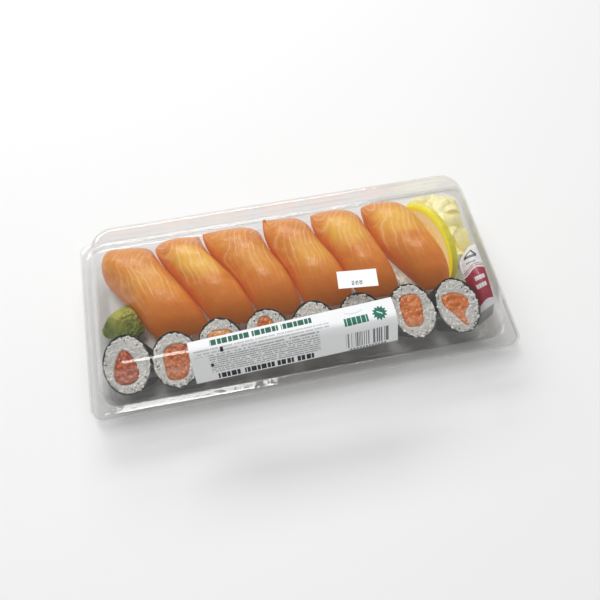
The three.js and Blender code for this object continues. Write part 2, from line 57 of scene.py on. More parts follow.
class Wire:  # one output socket, so that maths on it reads as Python
    def __init__(self, finish, socket):
        self.finish = finish
        self.socket = socket

    def maths(self, operation, *terms):
        return self.finish.node("Math", {"operation": operation}, dict(enumerate(terms)))

    def __abs__(self):
        return self.maths("ABSOLUTE", self)

    def sine(self):
        return self.maths("SINE", self)

    def angleOver(self, other):  # the angle whose tangent is this over the other
        return self.maths("ARCTAN2", self, other)

    def atMost(self, other):
        return self.maths("MINIMUM", self, other)

    def atLeast(self, other):
        return self.maths("MAXIMUM", self, other)

    def rise(self, low, high):  # 0 below low, 1 above high, smooth between
        return self.finish.node("MapRange", {"interpolation_type": "SMOOTHSTEP"},
                                {"Value": self, "From Min": low, "From Max": high})

    def within(self, low, high, soft):  # 1 between low and high
        return self.rise(low - soft, low + soft) * (1 - self.rise(high - soft, high + soft))

    def zigzag(self, period):  # 1 at each whole period, 0 halfway between
        return abs((self / period) % 1.0 - 0.5) * 2

    def dashes(self, gap, soft):  # 1, but for a gap at the start of each unit
        return (self % 1.0).rise(gap - soft, gap + soft)


for sign, operation in (("add", "ADD"), ("sub", "SUBTRACT"), ("mul", "MULTIPLY"), ("truediv", "DIVIDE"),
                        ("pow", "POWER"), ("mod", "FLOORED_MODULO")):  # each sign and its reflected form
    setattr(Wire, f"__{sign}__", lambda self, other, kind=operation: self.maths(kind, self, other))
    setattr(Wire, f"__r{sign}__", lambda self, other, kind=operation: self.maths(kind, other, self))


class Finish:  # a material with the nodes that make it
    def __init__(self, name, soft=None, **surface):  # soft: how far light goes in, its weight, scale, radius
        self.material = bpy.data.materials.new(name)
        self.material.use_nodes = True
        self.tree = self.material.node_tree
        self.body = self.tree.nodes["Principled BSDF"]
        self.out = self.tree.nodes["Material Output"]
        self.put(surface)
        for part, value in zip(("Weight", "Scale", "Radius"), soft or ()):
            self.feed(self.body.inputs["Subsurface " + part], value)

    def put(self, surface):
        for name, value in surface.items():
            self.feed(self.body.inputs[name.replace("_", " ")], value)

    def feed(self, socket, value):  # a wire, a colour code or a plain value
        if isinstance(value, Wire):
            self.tree.links.new(value.socket, socket)
        else:
            socket.default_value = paint(value) if isinstance(value, str) else value

    def node(self, kind, settings=None, inputs=None, output=0):
        made = self.tree.nodes.new("ShaderNode" + kind)
        for name, value in (settings or {}).items():
            if name == "stops":
                self.setStops(made.color_ramp, value)
            else:
                setattr(made, name, value)
        for key, value in (inputs or {}).items():
            self.feed(made.inputs[key], value)
        return Wire(self, made.outputs[output])

    def setStops(self, ramp, stops):
        while len(ramp.elements) < len(stops):
            ramp.elements.new(1.0)
        for element, (place, colour) in zip(ramp.elements, stops):
            element.position = place
            element.color = paint(colour)

    def ramp(self, factor, *stops):
        return self.node("ValToRGB", {"stops": stops}, {0: factor})

    def layers(self, tone, *coats):  # lays (share, colour) coats over a tone
        for share, colour in coats:
            tone = self.node("Mix", {"data_type": "RGBA"}, {0: share, 6: tone, 7: colour}, 2)
        return tone

    def where(self):  # object coordinates, in metres
        return self.node("TexCoord", output="Object")

    def lay(self, name):  # a UV map of the piece
        return self.node("UVMap", {"uv_map": name})

    def axes(self, vector):
        split = self.node("SeparateXYZ", {}, {0: vector})
        return [Wire(self, socket) for socket in split.socket.node.outputs]

    def join(self, x, y, z=0.0):
        return self.node("CombineXYZ", {}, {0: x, 1: y, 2: z})

    def grain(self, vector, scale, detail=2.0, rough=0.5, distort=0.0):
        return self.node("TexNoise", {}, {
            "Vector": vector, "Scale": scale, "Detail": detail, "Roughness": rough, "Distortion": distort})

    def cells(self, vector, scale):
        return self.node("TexVoronoi", {}, {"Vector": vector, "Scale": scale})

    def bump(self, height, strength, distance):
        return self.node("Bump", {}, {"Height": height, "Strength": strength, "Distance": distance})

    def show(self, tone, roughness, *relief):
        self.put({"Base_Color": tone, "Roughness": roughness, "Normal": self.bump(*relief)})
        return self


def mix(low, high, share):
    return low + (high - low) * share


def ease(share):
    share = min(max(share, 0.0), 1.0)
    return share * share * (3 - 2 * share)


def bumps(x, y, z, size, phase):  # a regular relief between 0 and 1
    k = pi / size
    wave = sin(k * x + phase) * sin(k * y + 1.7 * phase)
    wave += sin(k * (0.8 * x - 0.7 * z) + 2.3 * phase) * sin(k * (0.9 * z + 0.5 * y) + phase)
    return 0.5 + 0.25 * wave


def rough(x, y, z, size, seed=0):  # a random relief between -1 and 1
    return noise.noise(Vector((x / size + 17.3 * seed, y / size, z / size)))


def roughRound(angle, radius, size, seed):  # the same along a circle, so that its ends meet
    return rough(radius * cos(angle), radius * sin(angle), 0, size, seed)


def board(across, along):  # a cube of side 2, its top and bottom cut into a grid
    bm = bmesh.new()
    bmesh.ops.create_cube(bm, size=2)
    for axis, cuts in ((0, across), (1, along)):
        runs = [e for e in bm.edges if abs((e.verts[0].co - e.verts[1].co)[axis]) > 1.5]
        bmesh.ops.subdivide_edges(bm, edges=runs, cuts=cuts, use_grid_fill=True)
    return bm


def spinRound(bm, chain, steps, closed=False):  # a full turn of a run of vertices about Z
    ends = chain[1:] + chain[:1] if closed else chain[1:]
    edges = [bm.edges.new(pair) for pair in zip(chain, ends)]
    bmesh.ops.spin(bm, geom=chain + edges, cent=(0, 0, 0), axis=(0, 0, 1), angle=tau,
                   steps=steps, use_merge=True)
    bmesh.ops.remove_doubles(bm, verts=bm.verts, dist=1e-6)
    return bm


def turned(profile, steps, closed=False):  # a profile of (radius, height) spun about Z
    bm = bmesh.new()
    return spinRound(bm, [bm.verts.new((radius, 0, height)) for radius, height in profile], steps, closed)


def posed(place, *angles):  # the matrix of a place and of turns in degrees about Z, Y and X
    pose = Matrix.Translation(place)
    for angle, axis in zip(angles, "ZYX"):
        pose = pose @ Matrix.Rotation(radians(angle), 4, axis)
    return pose


def move(bm, rule):
    for vert in bm.verts:
        vert.co = Vector(rule(*vert.co))


def soften(bm, verts, times):
    for _ in range(times):
        bmesh.ops.smooth_vert(bm, verts=verts, factor=0.5, use_axis_x=True, use_axis_y=True, use_axis_z=True)


def mark(bm, name, values):  # a UV map from each vertex's pair of values
    layer = bm.loops.layers.uv.new(name)
    for face in bm.faces:
        for loop in face.loops:
            loop[layer].uv = values[loop.vert]


def faceOut(bm):  # a thin, folded shell can come out of the recalculation inside out
    bmesh.ops.recalc_face_normals(bm, faces=bm.faces)
    if bm.calc_volume(signed=True) < 0:
        bmesh.ops.reverse_faces(bm, faces=bm.faces)


def settle(node, bm, finishes, sharp=180, recalc=True):  # a piece in place of its CAD node
    first, *rest = node.split("_")
    name = first + "".join(word.title() for word in rest)
    if recalc:
        faceOut(bm)
    for edge in bm.edges:
        if edge.is_manifold and edge.calc_face_angle(0) > radians(sharp):
            edge.smooth = False
    for face in bm.faces:
        face.smooth = True
    bmesh.ops.scale(bm, vec=(0.001, 0.001, 0.001), verts=bm.verts)
    mesh = bpy.data.meshes.new(name)
    bm.to_mesh(mesh)
    bm.free()
    for finish in finishes:
        mesh.materials.append(finish.material)
    piece = bpy.data.objects.new(name, mesh)
    scene.collection.objects.link(piece)
    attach(piece, "root")
    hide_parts(node)


view = {"place": (-0.0413, -0.2415, 0.4046), "ahead": (0.0978, 0.5163, -0.8508), "roll": -0.7,
        "lens": 47.4, "sensor": 36}


def makeCamera():
    data = bpy.data.cameras.new("camera")
    data.lens = view["lens"]
    data.sensor_width = view["sensor"]
    camera = bpy.data.objects.new("camera", data)
    scene.collection.objects.link(camera)
    turn = Vector(view["ahead"]).to_track_quat("-Z", "Y").to_matrix()
    turn = turn @ Matrix.Rotation(radians(view["roll"]), 3, "Z")
    camera.matrix_world = Matrix.Translation(view["place"]) @ turn.to_4x4()
    scene.camera = camera


studio = {
    "sky": 0.34, "floor": "f2f2f2", "floorHalf": 3, "floorZ": -0.0002,
    "lamps": [  # place, width, depth and watts; each aims at the pack
        ((-0.15, 0.0, 1.35), 0.7, 0.35, 8.0),
        ((-0.2, 1.25, 0.95), 1.2, 0.4, 13.0),
    ],
}


def makeStudio():
    world = bpy.data.worlds.new("studio")
    world.use_nodes = True
    sky = world.node_tree.nodes["Background"]
    sky.inputs["Color"].default_value = (1, 1, 1, 1)
    sky.inputs["Strength"].default_value = studio["sky"]
    scene.world = world
    for number, (place, width, depth, watts) in enumerate(studio["lamps"]):
        data = bpy.data.lights.new(f"lamp{number}", "AREA")
        data.shape = "RECTANGLE"
        data.size, data.size_y, data.energy = width, depth, watts
        lamp = bpy.data.objects.new(f"lamp{number}", data)
        lamp.location = place
        lamp.rotation_euler = (-Vector(place)).to_track_quat("-Z", "Y").to_euler()
        scene.collection.objects.link(lamp)
    bm = bmesh.new()
    bmesh.ops.create_grid(bm, x_segments=1, y_segments=1, size=studio["floorHalf"])
    mesh = bpy.data.meshes.new("floor")
    bm.to_mesh(mesh)
    bm.free()
    mesh.materials.append(Finish("floorPaint", Base_Color=studio["floor"], Roughness=0.9).material)
    floor = bpy.data.objects.new("floor", mesh)
    floor.location = (0, 0, studio["floorZ"])
    scene.collection.objects.link(floor)


makeCamera()
makeStudio()
print("camera and studio ready")


clear = {
    "lid": "fdfdfd", "tray": "f8f8f8", "lidHaze": 0.006, "trayHaze": 0.03, "edgeShare": 0.35,
    # haze is the milky veil; the dark veil colour after it is painted shade for the foot of the tray's front
    # wall
    "haze": "dcdcd8", "smoke": "55554f", "lines": 0.14, "linesTop": (0.042, 0.0455),
    "shade": 0.5, "shadeFront": (-0.052, -0.03), "shadeTop": (0.004, 0.018),
    "gloss": 0.03, "mirror": 0.025, "edgeMirror": 0.9, "edgePower": 5.0,
}


def clearFinish(name, tint, hazeShare, shade=0.0):  # shade lays a painted shade, a dark veil, over the foot of the front wall
    made = Finish(name)
    where = made.where()
    x, y, z = made.axes(where)
    drawn = made.grain(made.join(x * 9, y * 9, z * 420), 1.0, 3, 0.65)  # lines that run round the walls
    wave = made.bump(made.grain(where, 60, 3, 0.6) + drawn * 0.5, 0.5, 0.0006)
    edge = made.node("LayerWeight", {}, {"Blend": 0.5, "Normal": wave}, 1) ** clear["edgePower"]
    # painted shade: the dark veil thickens towards the foot of the front wall, standing in for the shadows
    # and dark reflections there
    shaded = (1 - y.rise(*clear["shadeFront"])) * (1 - z.rise(*clear["shadeTop"])) * shade
    share = hazeShare * (0.5 + drawn) + clear["edgeShare"] * edge + shaded * (0.7 + 0.6 * drawn)
    share = share + drawn.rise(0.5, 0.72) * (1 - z.rise(*clear["linesTop"])) * clear["lines"]

    def cover(factor, under, top):
        return made.node("MixShader", {}, {0: factor, 1: under, 2: top})

    hollow = made.node("BsdfTransparent", {}, {"Color": tint})
    haze = made.node("BsdfDiffuse", {}, {"Color": clear["haze"]})
    # the dark veil: painted shade
    smoke = made.node("BsdfDiffuse", {}, {"Color": clear["smoke"]})
    shine = made.node("BsdfGlossy", {}, {
        "Color": "ffffff", "Roughness": clear["gloss"], "Normal": wave})
    body = cover(share, hollow, cover(shaded.atMost(1.0), haze, smoke))
    made.tree.nodes.remove(made.body)
    made.feed(made.out.inputs["Surface"], cover(clear["mirror"] + clear["edgeMirror"] * edge, body, shine))
    return made


def rounded(levels, reach, steps):  # fillets the bends of a run of (inset, z, corner) levels
    result = [levels[0]]
    for before, here, after in zip(levels, levels[1:], levels[2:]):
        sides, rests = [], []
        for other in (before, after):
            run = hypot(other[0] - here[0], other[1] - here[1])
            share = min(reach / run, 0.45)
            sides.append([mix(h, o, share) for h, o in zip(here, other)])
            rests.append([[mix(h, o, share * 1.6) for h, o in zip(here, other)]] if run > reach * 4 else [])
        result += rests[0]
        for step in range(steps + 1):
            t = step / steps
            result.append([mix(mix(a, h, t), mix(h, b, t), t) for a, h, b in zip(sides[0], here, sides[1])])
        result += rests[1]
    return result + [levels[-1]]


def otherFace(levels, thickness):
    result = []
    for i, (inset, z, corner) in enumerate(levels):
        before, after = levels[max(i - 1, 0)], levels[min(i + 1, len(levels) - 1)]
        along = Vector((after[0] - before[0], after[1] - before[1])).normalized()
        moved = inset - along.y * thickness
        result.append((moved, z + along.x * thickness, max(corner - (moved - inset), 1)))
    return result


def roundedBox(levels, quarter):  # spins a closed section and pushes its quarters apart
    steps = quarter * 4
    half = pi / steps
    bm = bmesh.new()
    slide = bm.verts.layers.float_vector.new("slide")
    chain = []
    for inset, z, corner in levels:
        radius = max(corner, 0)
        vert = bm.verts.new((radius * cos(half), radius * sin(half), z))
        if corner > 0:
            vert[slide] = (pack["length"] / 2 - inset - corner, pack["width"] / 2 - inset - corner, 0)
        chain.append(vert)
    for vert in spinRound(bm, chain, steps).verts:
        push = vert[slide]
        vert.co.x += copysign(push.x, vert.co.x)
        vert.co.y += copysign(push.y, vert.co.y)
    return bm


# inset from the pack's edge, height and corner radius of each bend
lidLevels = [
    (15.4, 47, 9.5), (13.4, 46.3, 11), (11.9, 44, 12), (6.2, 19.8, 11), (5.2, 18.2, 10.5),
    (1.2, 18, 6.6), (0.2, 17, 6.2), (0, 13, 6.1),
]
trayLevels = [
    (15, 0, 9), (13, 0.5, 10), (12, 2, 10.5), (7, 15, 9.5), (6, 16, 9), (2.2, 16.2, 6.2),
    (1.5, 15.4, 5.6), (1.5, 13.4, 5.5),
]
bend = {"reach": 1.2, "steps": 3}


def makeShell(name, levels, thickness, middleZ, finish):
    inset, z, corner = levels[0]
    start = [(inset + 4, z, corner - 3), (inset + 2, z, corner - 1.5)]
    outside = rounded(start + levels, bend["reach"], bend["steps"])
    inside = otherFace(outside, thickness)[::-1]
    bm = roundedBox([(0, middleZ, 0)] + outside + inside + [(0, middleZ - thickness, 0)], 14)
    settle(name, bm, [finish], sharp=50)


lidFinish = clearFinish("clearLid", clear["lid"], clear["lidHaze"])
trayFinish = clearFinish("clearTray", clear["tray"], clear["trayHaze"], clear["shade"])
makeShell("lid", lidLevels, pack["wall"], pack["top"], lidFinish)
makeShell("tray", trayLevels, -pack["wall"], 0, trayFinish)
print("tray and lid made")


# where each crease between slices crosses the kink line, its slope in front and behind, its bend, its lean
creases = [(-94.3, 0.53, 0.66, 0.033, 0), (-60.2, 0.58, 0.56, 0.0085, 0), (-30.3, 0.466, 0.6, 0.0115, 0),
           (-0.5, 0.325, 0.42, 0.013, 0), (30, 0.344, 0.44, 0.011, 0), (57.6, 0.344, 0.28, 0.006, 0),
           (86.2, 0.364, 0.33, 0, 0.2)]
# ride height, left and right pull at the back, front cut, shift, lift of the left and right hem, curl of
# the back left corner, front reach, and the golden patch's middle and strength
sliceKeys = ("rise", "pulls", "cut", "shift", "hems", "curl", "reach", "gold")
slices = [dict(zip(sliceKeys, row)) for row in (
    (-1.2, (2.5, 3.3), 0, -1.4, (0, 9), 10, 1.2, (0.1, 0.15, 0.35)),
    (0.2, (5, -1.3), 0, -0.8, (9, 9), 0, 0.5, (0.0, -0.15, 1.0)),
    (-0.2, (1.5, 8), 0, 0.2, (9, 9), 4, 0.5, (0.2, 0.2, 0.25)),
    (0.2, (1.5, 9), 0, 0.6, (9, 9), 8, 0.5, (0.1, 0.25, 0.6)),
    (0.8, (1.5, 12), 1, 0.6, (9, 9), 4, 0.5, (-0.1, -0.25, 0.9)),
    (1.2, (2.5, 7), 11, 0.6, (9, 11), 4, 1.5, (-0.1, -0.3, 0.9)))]
fillet = {
    "ridge": 35.5, "midY": 18.2, "halfLength": 29.2, "thickness": 4, "hemZ": 9, "gap": 0.1,
    "kinkY": 10, "bendY": 25, "backDrop": 11.5, "frontDrop": 21.5, "dropPower": 3.4, "archPower": 0.75,
    "sidePower": 0.8, "frontPull": 2, "pullPower": 3, "cutPower": 1.4, "backNarrowing": 0.06,
    "frontNarrowing": 0.12, "narrowingPower": 5, "tipLift": 3, "tipPower": 4, "curlSide": 1.2,
    "curlReach": 1.6, "hemThinning": 0.75, "endThinning": 0.35, "thinningPower": 4, "endEase": 0.85,
    "relief": 0.35, "grooveSize": 7, "reliefSize": 6, "droopFrom": 0.75, "droop": (0, 0.9, -2.6),
    # the back tone is painted light at the back end, the front tone painted shade at the front end, the edge
    # and crease tones painted shade where slices meet
    "flesh": ("c6762a", "d18834", "dd9c46"), "gold": "e9bd4c", "back": "cf863e", "band": "d67c2c",
    "front": "e87f28", "edge": "d4681e", "crease": "b85a1a", "fat": "f6d3a0", "glow": "e8791c",
    "fatSpacing": 2.9, "hairShare": 0.37,
}


def creaseX(which, y, z):
    x, front, back, curve, lean = creases[which]
    slope = front if y < fillet["kinkY"] else back
    bent = curve * max(y - fillet["bendY"], 0) ** 2
    return x + (fillet["kinkY"] - y) * slope + bent + lean * (z - fillet["hemZ"])


def slicePoint(k, s, v, depth):  # s from -1, back, to 1, front; v from -1, left, to 1, right
    piece, side, end = slices[k], int(v >= 0), "back" if s < 0 else "front"
    toBack, toFront, reach = max(-s, 0), max(s, 0), abs(s)
    pull = (piece["pulls"][side] if s < 0 else fillet["frontPull"]) * v * v * reach ** fillet["pullPower"]
    y = fillet["midY"] + piece["shift"] - s * (fillet["halfLength"] - pull) - piece["reach"] * toFront ** 2
    ridge = fillet["ridge"] + piece["rise"] - fillet[end + "Drop"] * reach ** fillet["dropPower"]
    arch = abs(cos(v * pi / 2)) ** fillet["archPower"]
    lift = piece["hems"][side] * abs(v) * (1 - toFront ** 2)
    edge = fillet["hemZ"] + lift + fillet["tipLift"] * toBack ** fillet["tipPower"]
    corner = piece["curl"] * max(-v, 0) ** fillet["curlSide"] * toBack ** fillet["curlReach"]
    z = edge + (ridge - depth - edge) * arch + corner
    left = creaseX(k, y, z) + fillet["gap"] / 2 + piece["cut"] * toFront ** fillet["cutPower"]
    right = creaseX(k + 1, y, z) - fillet["gap"] / 2
    narrowing = fillet[end + "Narrowing"] * reach ** fillet["narrowingPower"]
    half = (right - left) / 2 * (1 - narrowing) - depth * fillet["hemThinning"]
    across = copysign(abs(sin(v * pi / 2)) ** fillet["sidePower"], v)
    return Vector(((left + right) / 2 + half * across, y, z))


def filletFinish(k):  # raw salmon: orange flesh and pale fat lines, with painted shade where slices meet and at the front end, a painted paler back and a painted glow
    sideGold, alongGold, strength = slices[k]["gold"]
    # the flesh glows faintly: painted light that lifts its shade
    made = Finish(f"salmonFlesh{k + 1}", (0.1, 0.002, (1.0, 0.4, 0.15)), Specular_IOR_Level=0.45,
                  Emission_Color=fillet["glow"], Emission_Strength=0.12)
    u, w, _ = made.axes(made.lay("spread"))
    v, s, _ = made.axes(made.lay("share"))
    spot = made.join(u * 0.1, w * 0.1, float(k))
    drift = made.grain(spot, 0.6, 1, 0.4) - 0.5
    fine = made.grain(spot, 7, 3, 0.6) - 0.5
    cloud = made.grain(spot, 1.7, 3, 0.6)
    toRim = (0 - v).rise(0.25, 0.95)  # near the left hem the lines run along it
    bent = u + w * 0.37 - w * w * 0.0067 + drift * 7
    line = bent * (1 - toRim) + v * 16.0 * toRim
    spacing = fillet["fatSpacing"] + 0.35 * (k % 3)
    ridge = line.zigzag(spacing)
    strong = made.grain(made.join(line * 0.5, w * 0.05, float(k)), 1.0, 2, 0.6).rise(0.36, 0.6)
    strong = strong * (1 - s.rise(-0.1, 0.85))
    streak = (1 - ridge.rise(0.0, 0.42)) * strong
    hair = (1 - line.zigzag(spacing * fillet["hairShare"]).rise(0.0, 0.6)) * strong
    patch = ((v - sideGold) / 0.6) ** 2.0 + ((s - alongGold) / 0.5) ** 2.0
    gold = (1 - patch.rise(0.0, 1.1)) * strength
    # painted shade: darker towards both hems, where the slices meet
    edge = abs(v).rise(0.5, 1.0)
    flesh = made.layers(
        made.ramp(cloud, *zip((0.3, 0.5, 0.72), fillet["flesh"])),
        (gold * 0.9, fillet["gold"]),
        # painted light: the back end paler, as lit from behind
        ((0 - s).rise(0.35, 1.0) * 0.5, fillet["back"]),
        (ridge.rise(0.3, 1.0) * 0.2, fillet["band"]),
        # painted shade: the front end a deeper orange, as it looks in shade
        (s.rise(0.0, 0.95) * 0.85, fillet["front"]),
        (edge * 0.75, fillet["edge"]),
        # more painted shade on the right side, under the next slice's overhang
        (v.rise(0.3, 0.95) * 0.6, fillet["crease"]),
        ((streak * 0.45 + hair * 0.16) * (1 - edge * 0.4), fillet["fat"]))
    height = streak * 0.5 + hair * 0.2 + fine * 0.5 + cloud * 1.2
    return made.show(flesh, 0.2 + 0.25 * made.grain(spot, 4, 2, 0.5), height, 0.5, 0.0006)


def makeSlice(k):
    bm = board(31, 59)
    spread, share, hem = {}, {}, []
    for vert in bm.verts:
        v, along, side = vert.co
        s = -copysign(abs(along) ** fillet["endEase"], along)
        thinning = fillet["endThinning"] * abs(s) ** fillet["thinningPower"]
        depth = 0 if side > 0 else fillet["thickness"] * (1 - thinning)
        place = slicePoint(k, s, v, depth)
        middle = slicePoint(k, s, 0, depth)
        if side > 0:
            place.z -= fillet["relief"] * bumps(*place, fillet["grooveSize"], k) * cos(v * 1.5)
            place.z += fillet["relief"] * rough(*place, fillet["reliefSize"], k) * cos(v * pi / 2)
        droop = max(s - fillet["droopFrom"], 0) / (1 - fillet["droopFrom"])  # the end hangs behind the rolls
        place += Vector(fillet["droop"]) * droop ** 2
        vert.co = place
        spread[vert] = ((place - middle).length * (1 if v > 0 else -1), s * fillet["halfLength"])
        share[vert] = (v, s)
        if abs(v) > 0.9 or abs(s) > 0.93:
            hem.append(vert)
    mark(bm, "spread", spread)
    mark(bm, "share", share)
    soften(bm, hem, 2)
    settle(f"nigiri_salmon_{k + 1}", bm, [filletFinish(k)])


riceGrain = {"length": 4.9, "width": 2.15, "flatness": 0.86, "taper": 0.12, "bend": 0.035,
             "around": 6, "rings": 5, "glow": "f2ece0"}


# the glow is painted light that lifts the rice's shade
def riceFinish(name, light, shade, glow):
    made = Finish(name, (0.5, 0.003, (1.0, 0.9, 0.75)), Specular_IOR_Level=0.45,
                  Emission_Color=riceGrain["glow"], Emission_Strength=glow)
    where = made.where()
    cloud = made.grain(where, 420, 2, 0.6) * 0.5 + made.grain(where, 130, 2, 0.6) * 0.5
    tone = made.ramp(cloud, (0.36, shade), (0.6, light))
    return made.show(tone, 0.3 + 0.25 * made.grain(where, 900, 1), made.grain(where, 1300, 2), 0.2, 0.0002)


looseRice = riceFinish("looseRice", "f0eeea", "d0cec7", 0.06)
# darker than the loose grains: painted shade in the gaps between them
packedRice = riceFinish("packedRice", "d2cfc6", "b4b1a8", 0.06)
loafRice = riceFinish("loafRice", "f4f1e9", "dedace", 0.2)
# darker than the loaf's grains: painted shade in the gaps between them
packedLoaf = riceFinish("packedLoaf", "e8e4da", "d0ccc0", 0.2)


def addGrain(bm, place, lying, size, finish):  # a cooked grain, slightly bent, one end blunter
    grain = bmesh.ops.create_uvsphere(bm, u_segments=riceGrain["around"], v_segments=riceGrain["rings"],
                                      radius=0.5)["verts"]
    width = riceGrain["width"] * size
    shape = Matrix.Diagonal((width, width * riceGrain["flatness"], riceGrain["length"] * size))
    pose = Matrix.Translation(place) @ lying.to_track_quat("Z", "Y").to_matrix().to_4x4()
    for vert in grain:
        local = shape @ vert.co
        local.x *= 1 - riceGrain["taper"] * local.z / riceGrain["length"]
        local.y += riceGrain["bend"] * local.z * local.z
        vert.co = pose @ local
        for face in vert.link_faces:
            face.material_index = finish


loaf = {
    "backReach": 0.82, "frontReach": 0.72, "sideReach": 0.98, "gap": 0.5, "sideGap": 0.9,
    "waist": fillet["hemZ"] + 1, "endTaper": 0.3, "endPower": 6, "footTaper": 0.1, "footSlope": 2.2,
    "spill": 1.2, "spillSlope": 3, "sink": 0.5, "relief": 0.5, "reliefSpacing": 2.2,
    "tries": 900, "spacing": 2.1, "grainSink": 0.9, "grainFoot": 1.2,
}


def loafPoint(k, cx, cz, along):  # cx and cz on a round section, along from -1, front, to 1, back
    below = fillet["thickness"] + pack["fit"] + loaf["gap"]
    s = -(loaf["backReach"] if along > 0 else loaf["frontReach"]) * sin(along * pi / 2)
    radius = hypot(cx, cz)
    taper = radius * (1 - loaf["endTaper"] * abs(along) ** loaf["endPower"])
    v = loaf["sideReach"] * asin(max(-1, min(1, cx / max(radius, 1e-6)))) * 2 / pi
    edge = slicePoint(k, s, v * radius, below + loaf["sideGap"])
    middle = slicePoint(k, s, 0, below)
    waist = loaf["waist"]
    if cz >= 0:
        return Vector((mix(middle.x, edge.x, taper), edge.y, mix(waist, max(edge.z, waist), taper)))
    sink = min(-cz * loaf["footSlope"], 1)
    cut = slices[k]["cut"] * max(s, 0) ** fillet["cutPower"]
    spilled = edge.x - loaf["spill"] * min(sink * loaf["spillSlope"], 1) * cut * max(-v, 0)
    x = mix(middle.x, spilled, taper * (1 + loaf["footTaper"] * cz))
    return Vector((x, edge.y, min(mix(waist, floorTop, sink), middle.z)))


def makeLoaf(k):
    rng = random.Random(40 + k)
    capPlaces = (0, 0.35, 0.7)
    profile = [(r, 1) for r in capPlaces] + [(1, 1 - i / 9) for i in range(19)]
    bm = turned(profile + [(r, -1) for r in capPlaces[::-1]], 28)
    move(bm, lambda cx, cz, along: loafPoint(k, cx, cz, along))
    faceOut(bm)
    for vert in bm.verts:
        if vert.co.z > floorTop + loaf["sink"]:
            vert.co.z -= loaf["sink"] + loaf["relief"] * rough(*vert.co, loaf["reliefSpacing"], k)
    for face in bm.faces:
        face.material_index = 1
    kept = []
    for _ in range(loaf["tries"]):
        angle, along = rng.uniform(-0.5, pi + 0.5), rng.uniform(-1, 1)
        at = loafPoint(k, cos(angle), sin(angle), along)
        crowded = any((at - other).length < loaf["spacing"] for other in kept)
        if at.z < floorTop + loaf["grainFoot"] or crowded:
            continue
        kept.append(at)
        away = (at - Vector((loafPoint(k, 0, 0, along).x, at.y, 10))).normalized()
        lying = away.orthogonal().normalized()
        lying.rotate(Matrix.Rotation(rng.uniform(0, tau), 3, away))
        lying = (lying + away * rng.uniform(-0.25, 0.25)).normalized()
        addGrain(bm, at - away * loaf["grainSink"], lying, rng.uniform(0.85, 1.05), 0)
    settle(f"nigiri_rice_{k + 1}", bm, [loafRice, packedLoaf], recalc=False)


for k in range(len(slices)):
    makeSlice(k)
    makeLoaf(k)
print("nigiri made")


# middle of the top face, half width, half depth and turn, then the core's half sizes, squareness, taper,
# hook, middle and, where it narrows suddenly, its neck
rolls = [
    ((-97, -32.8, 13, 16.6, 0), (6, 9.4, 2.2, 0.42, 0, -1, -1.4)),
    ((-70.8, -34.8, 12.9, 15.6, 0), (6.8, 9.6, 3.4, -0.1, -1, 0.4, -1.4)),
    ((-45.2, -30.4, 12.7, 14.8, 0), (7, 5.2, 3, 0, 0.3, 0, 2.6)),
    ((-19.2, -29.6, 12.7, 14.8, 0), (5, 7.4, 2.6, 0.25, 0, -0.6, 3)),
    ((7, -29.8, 12.9, 14.8, 0), (6.2, 5.8, 3, 0, 0, 0.4, -1.4)),
    ((33.6, -30.3, 13.3, 15.2, 0), (6, 6.4, 2.4, -0.2, 0.4, 0, -1.2)),
    ((63.2, -30.8, 12.4, 16.2, 18), (6, 9.2, 3.6, -0.05, 0.4, -0.8, 0.2)),
    ((88.5, -32.2, 12.1, 16.2, 13), (5, 9.8, 2.4, -0.6, 3.6, 0, -2.4, 3)),
]
wrap = {
    "height": 25.5, "lean": radians(22), "nori": 0.6, "around": 72,
    "footPlace": 0.955, "footWidth": 0.94, "footDepth": 0.79,
    "ripple": 0.3, "ragged": 1.1, "raggedPower": 6, "noriTones": ("0e1411", "27302a"),
    "trim": 1.15, "unevenSize": 2.2, "tries": 3600, "spacing": 1.5, "rimRoom": 1.4, "upright": 0.4,
    "flecks": 16, "coreRagged": 0.5, "coreRise": 0.25, "chop": 0.7, "fineChop": 0.4, "coreEdge": 0.7,
}
footBack = (wrap["height"] - floorTop) * tan(wrap["lean"])


def coreOutline(core, angle, grow=0.0):
    a, b, square, taper, hook, x, y = core[:7]
    a, b = a + grow, b + grow
    c, s = cos(angle), sin(angle)
    reach = (abs(c / a) ** square + abs(s / b) ** square) ** (-1 / square)
    up = reach * s / b
    narrowing = taper * (tanh(core[7] * up) if core[7:] else up)
    return Vector((x + reach * c * (1 - narrowing) - hook * up * abs(up), y + reach * s))


def oval(roll, trim, angle):
    _, _, halfWide, halfDeep, turn = roll
    px, py = (halfWide - trim) * cos(angle), (halfDeep - trim) * sin(angle)
    return Matrix.Rotation(radians(turn), 2) @ Vector((px, py))


def rollPoint(roll, place, share, lift=0.0):  # from the foot, 0, to the leaning top face, 1
    x, y, px, py = roll[0], roll[1], place.x, place.y
    low = Vector((x * wrap["footPlace"] + px * wrap["footWidth"],
                  y + footBack + py * wrap["footDepth"], floorTop))
    top = Vector((x + px, y + py * cos(wrap["lean"]),
                  wrap["height"] + py * sin(wrap["lean"]) + lift))
    return low.lerp(top, share)


def noriFinish():
    made = Finish("driedSeaweed", Specular_IOR_Level=0.35)
    grain = made.grain(made.where(), 700, 4, 0.7)
    tone = made.ramp(grain, *zip((0.35, 0.7), wrap["noriTones"]))
    return made.show(tone, 0.4 + 0.3 * grain, grain, 0.6, 0.0004)


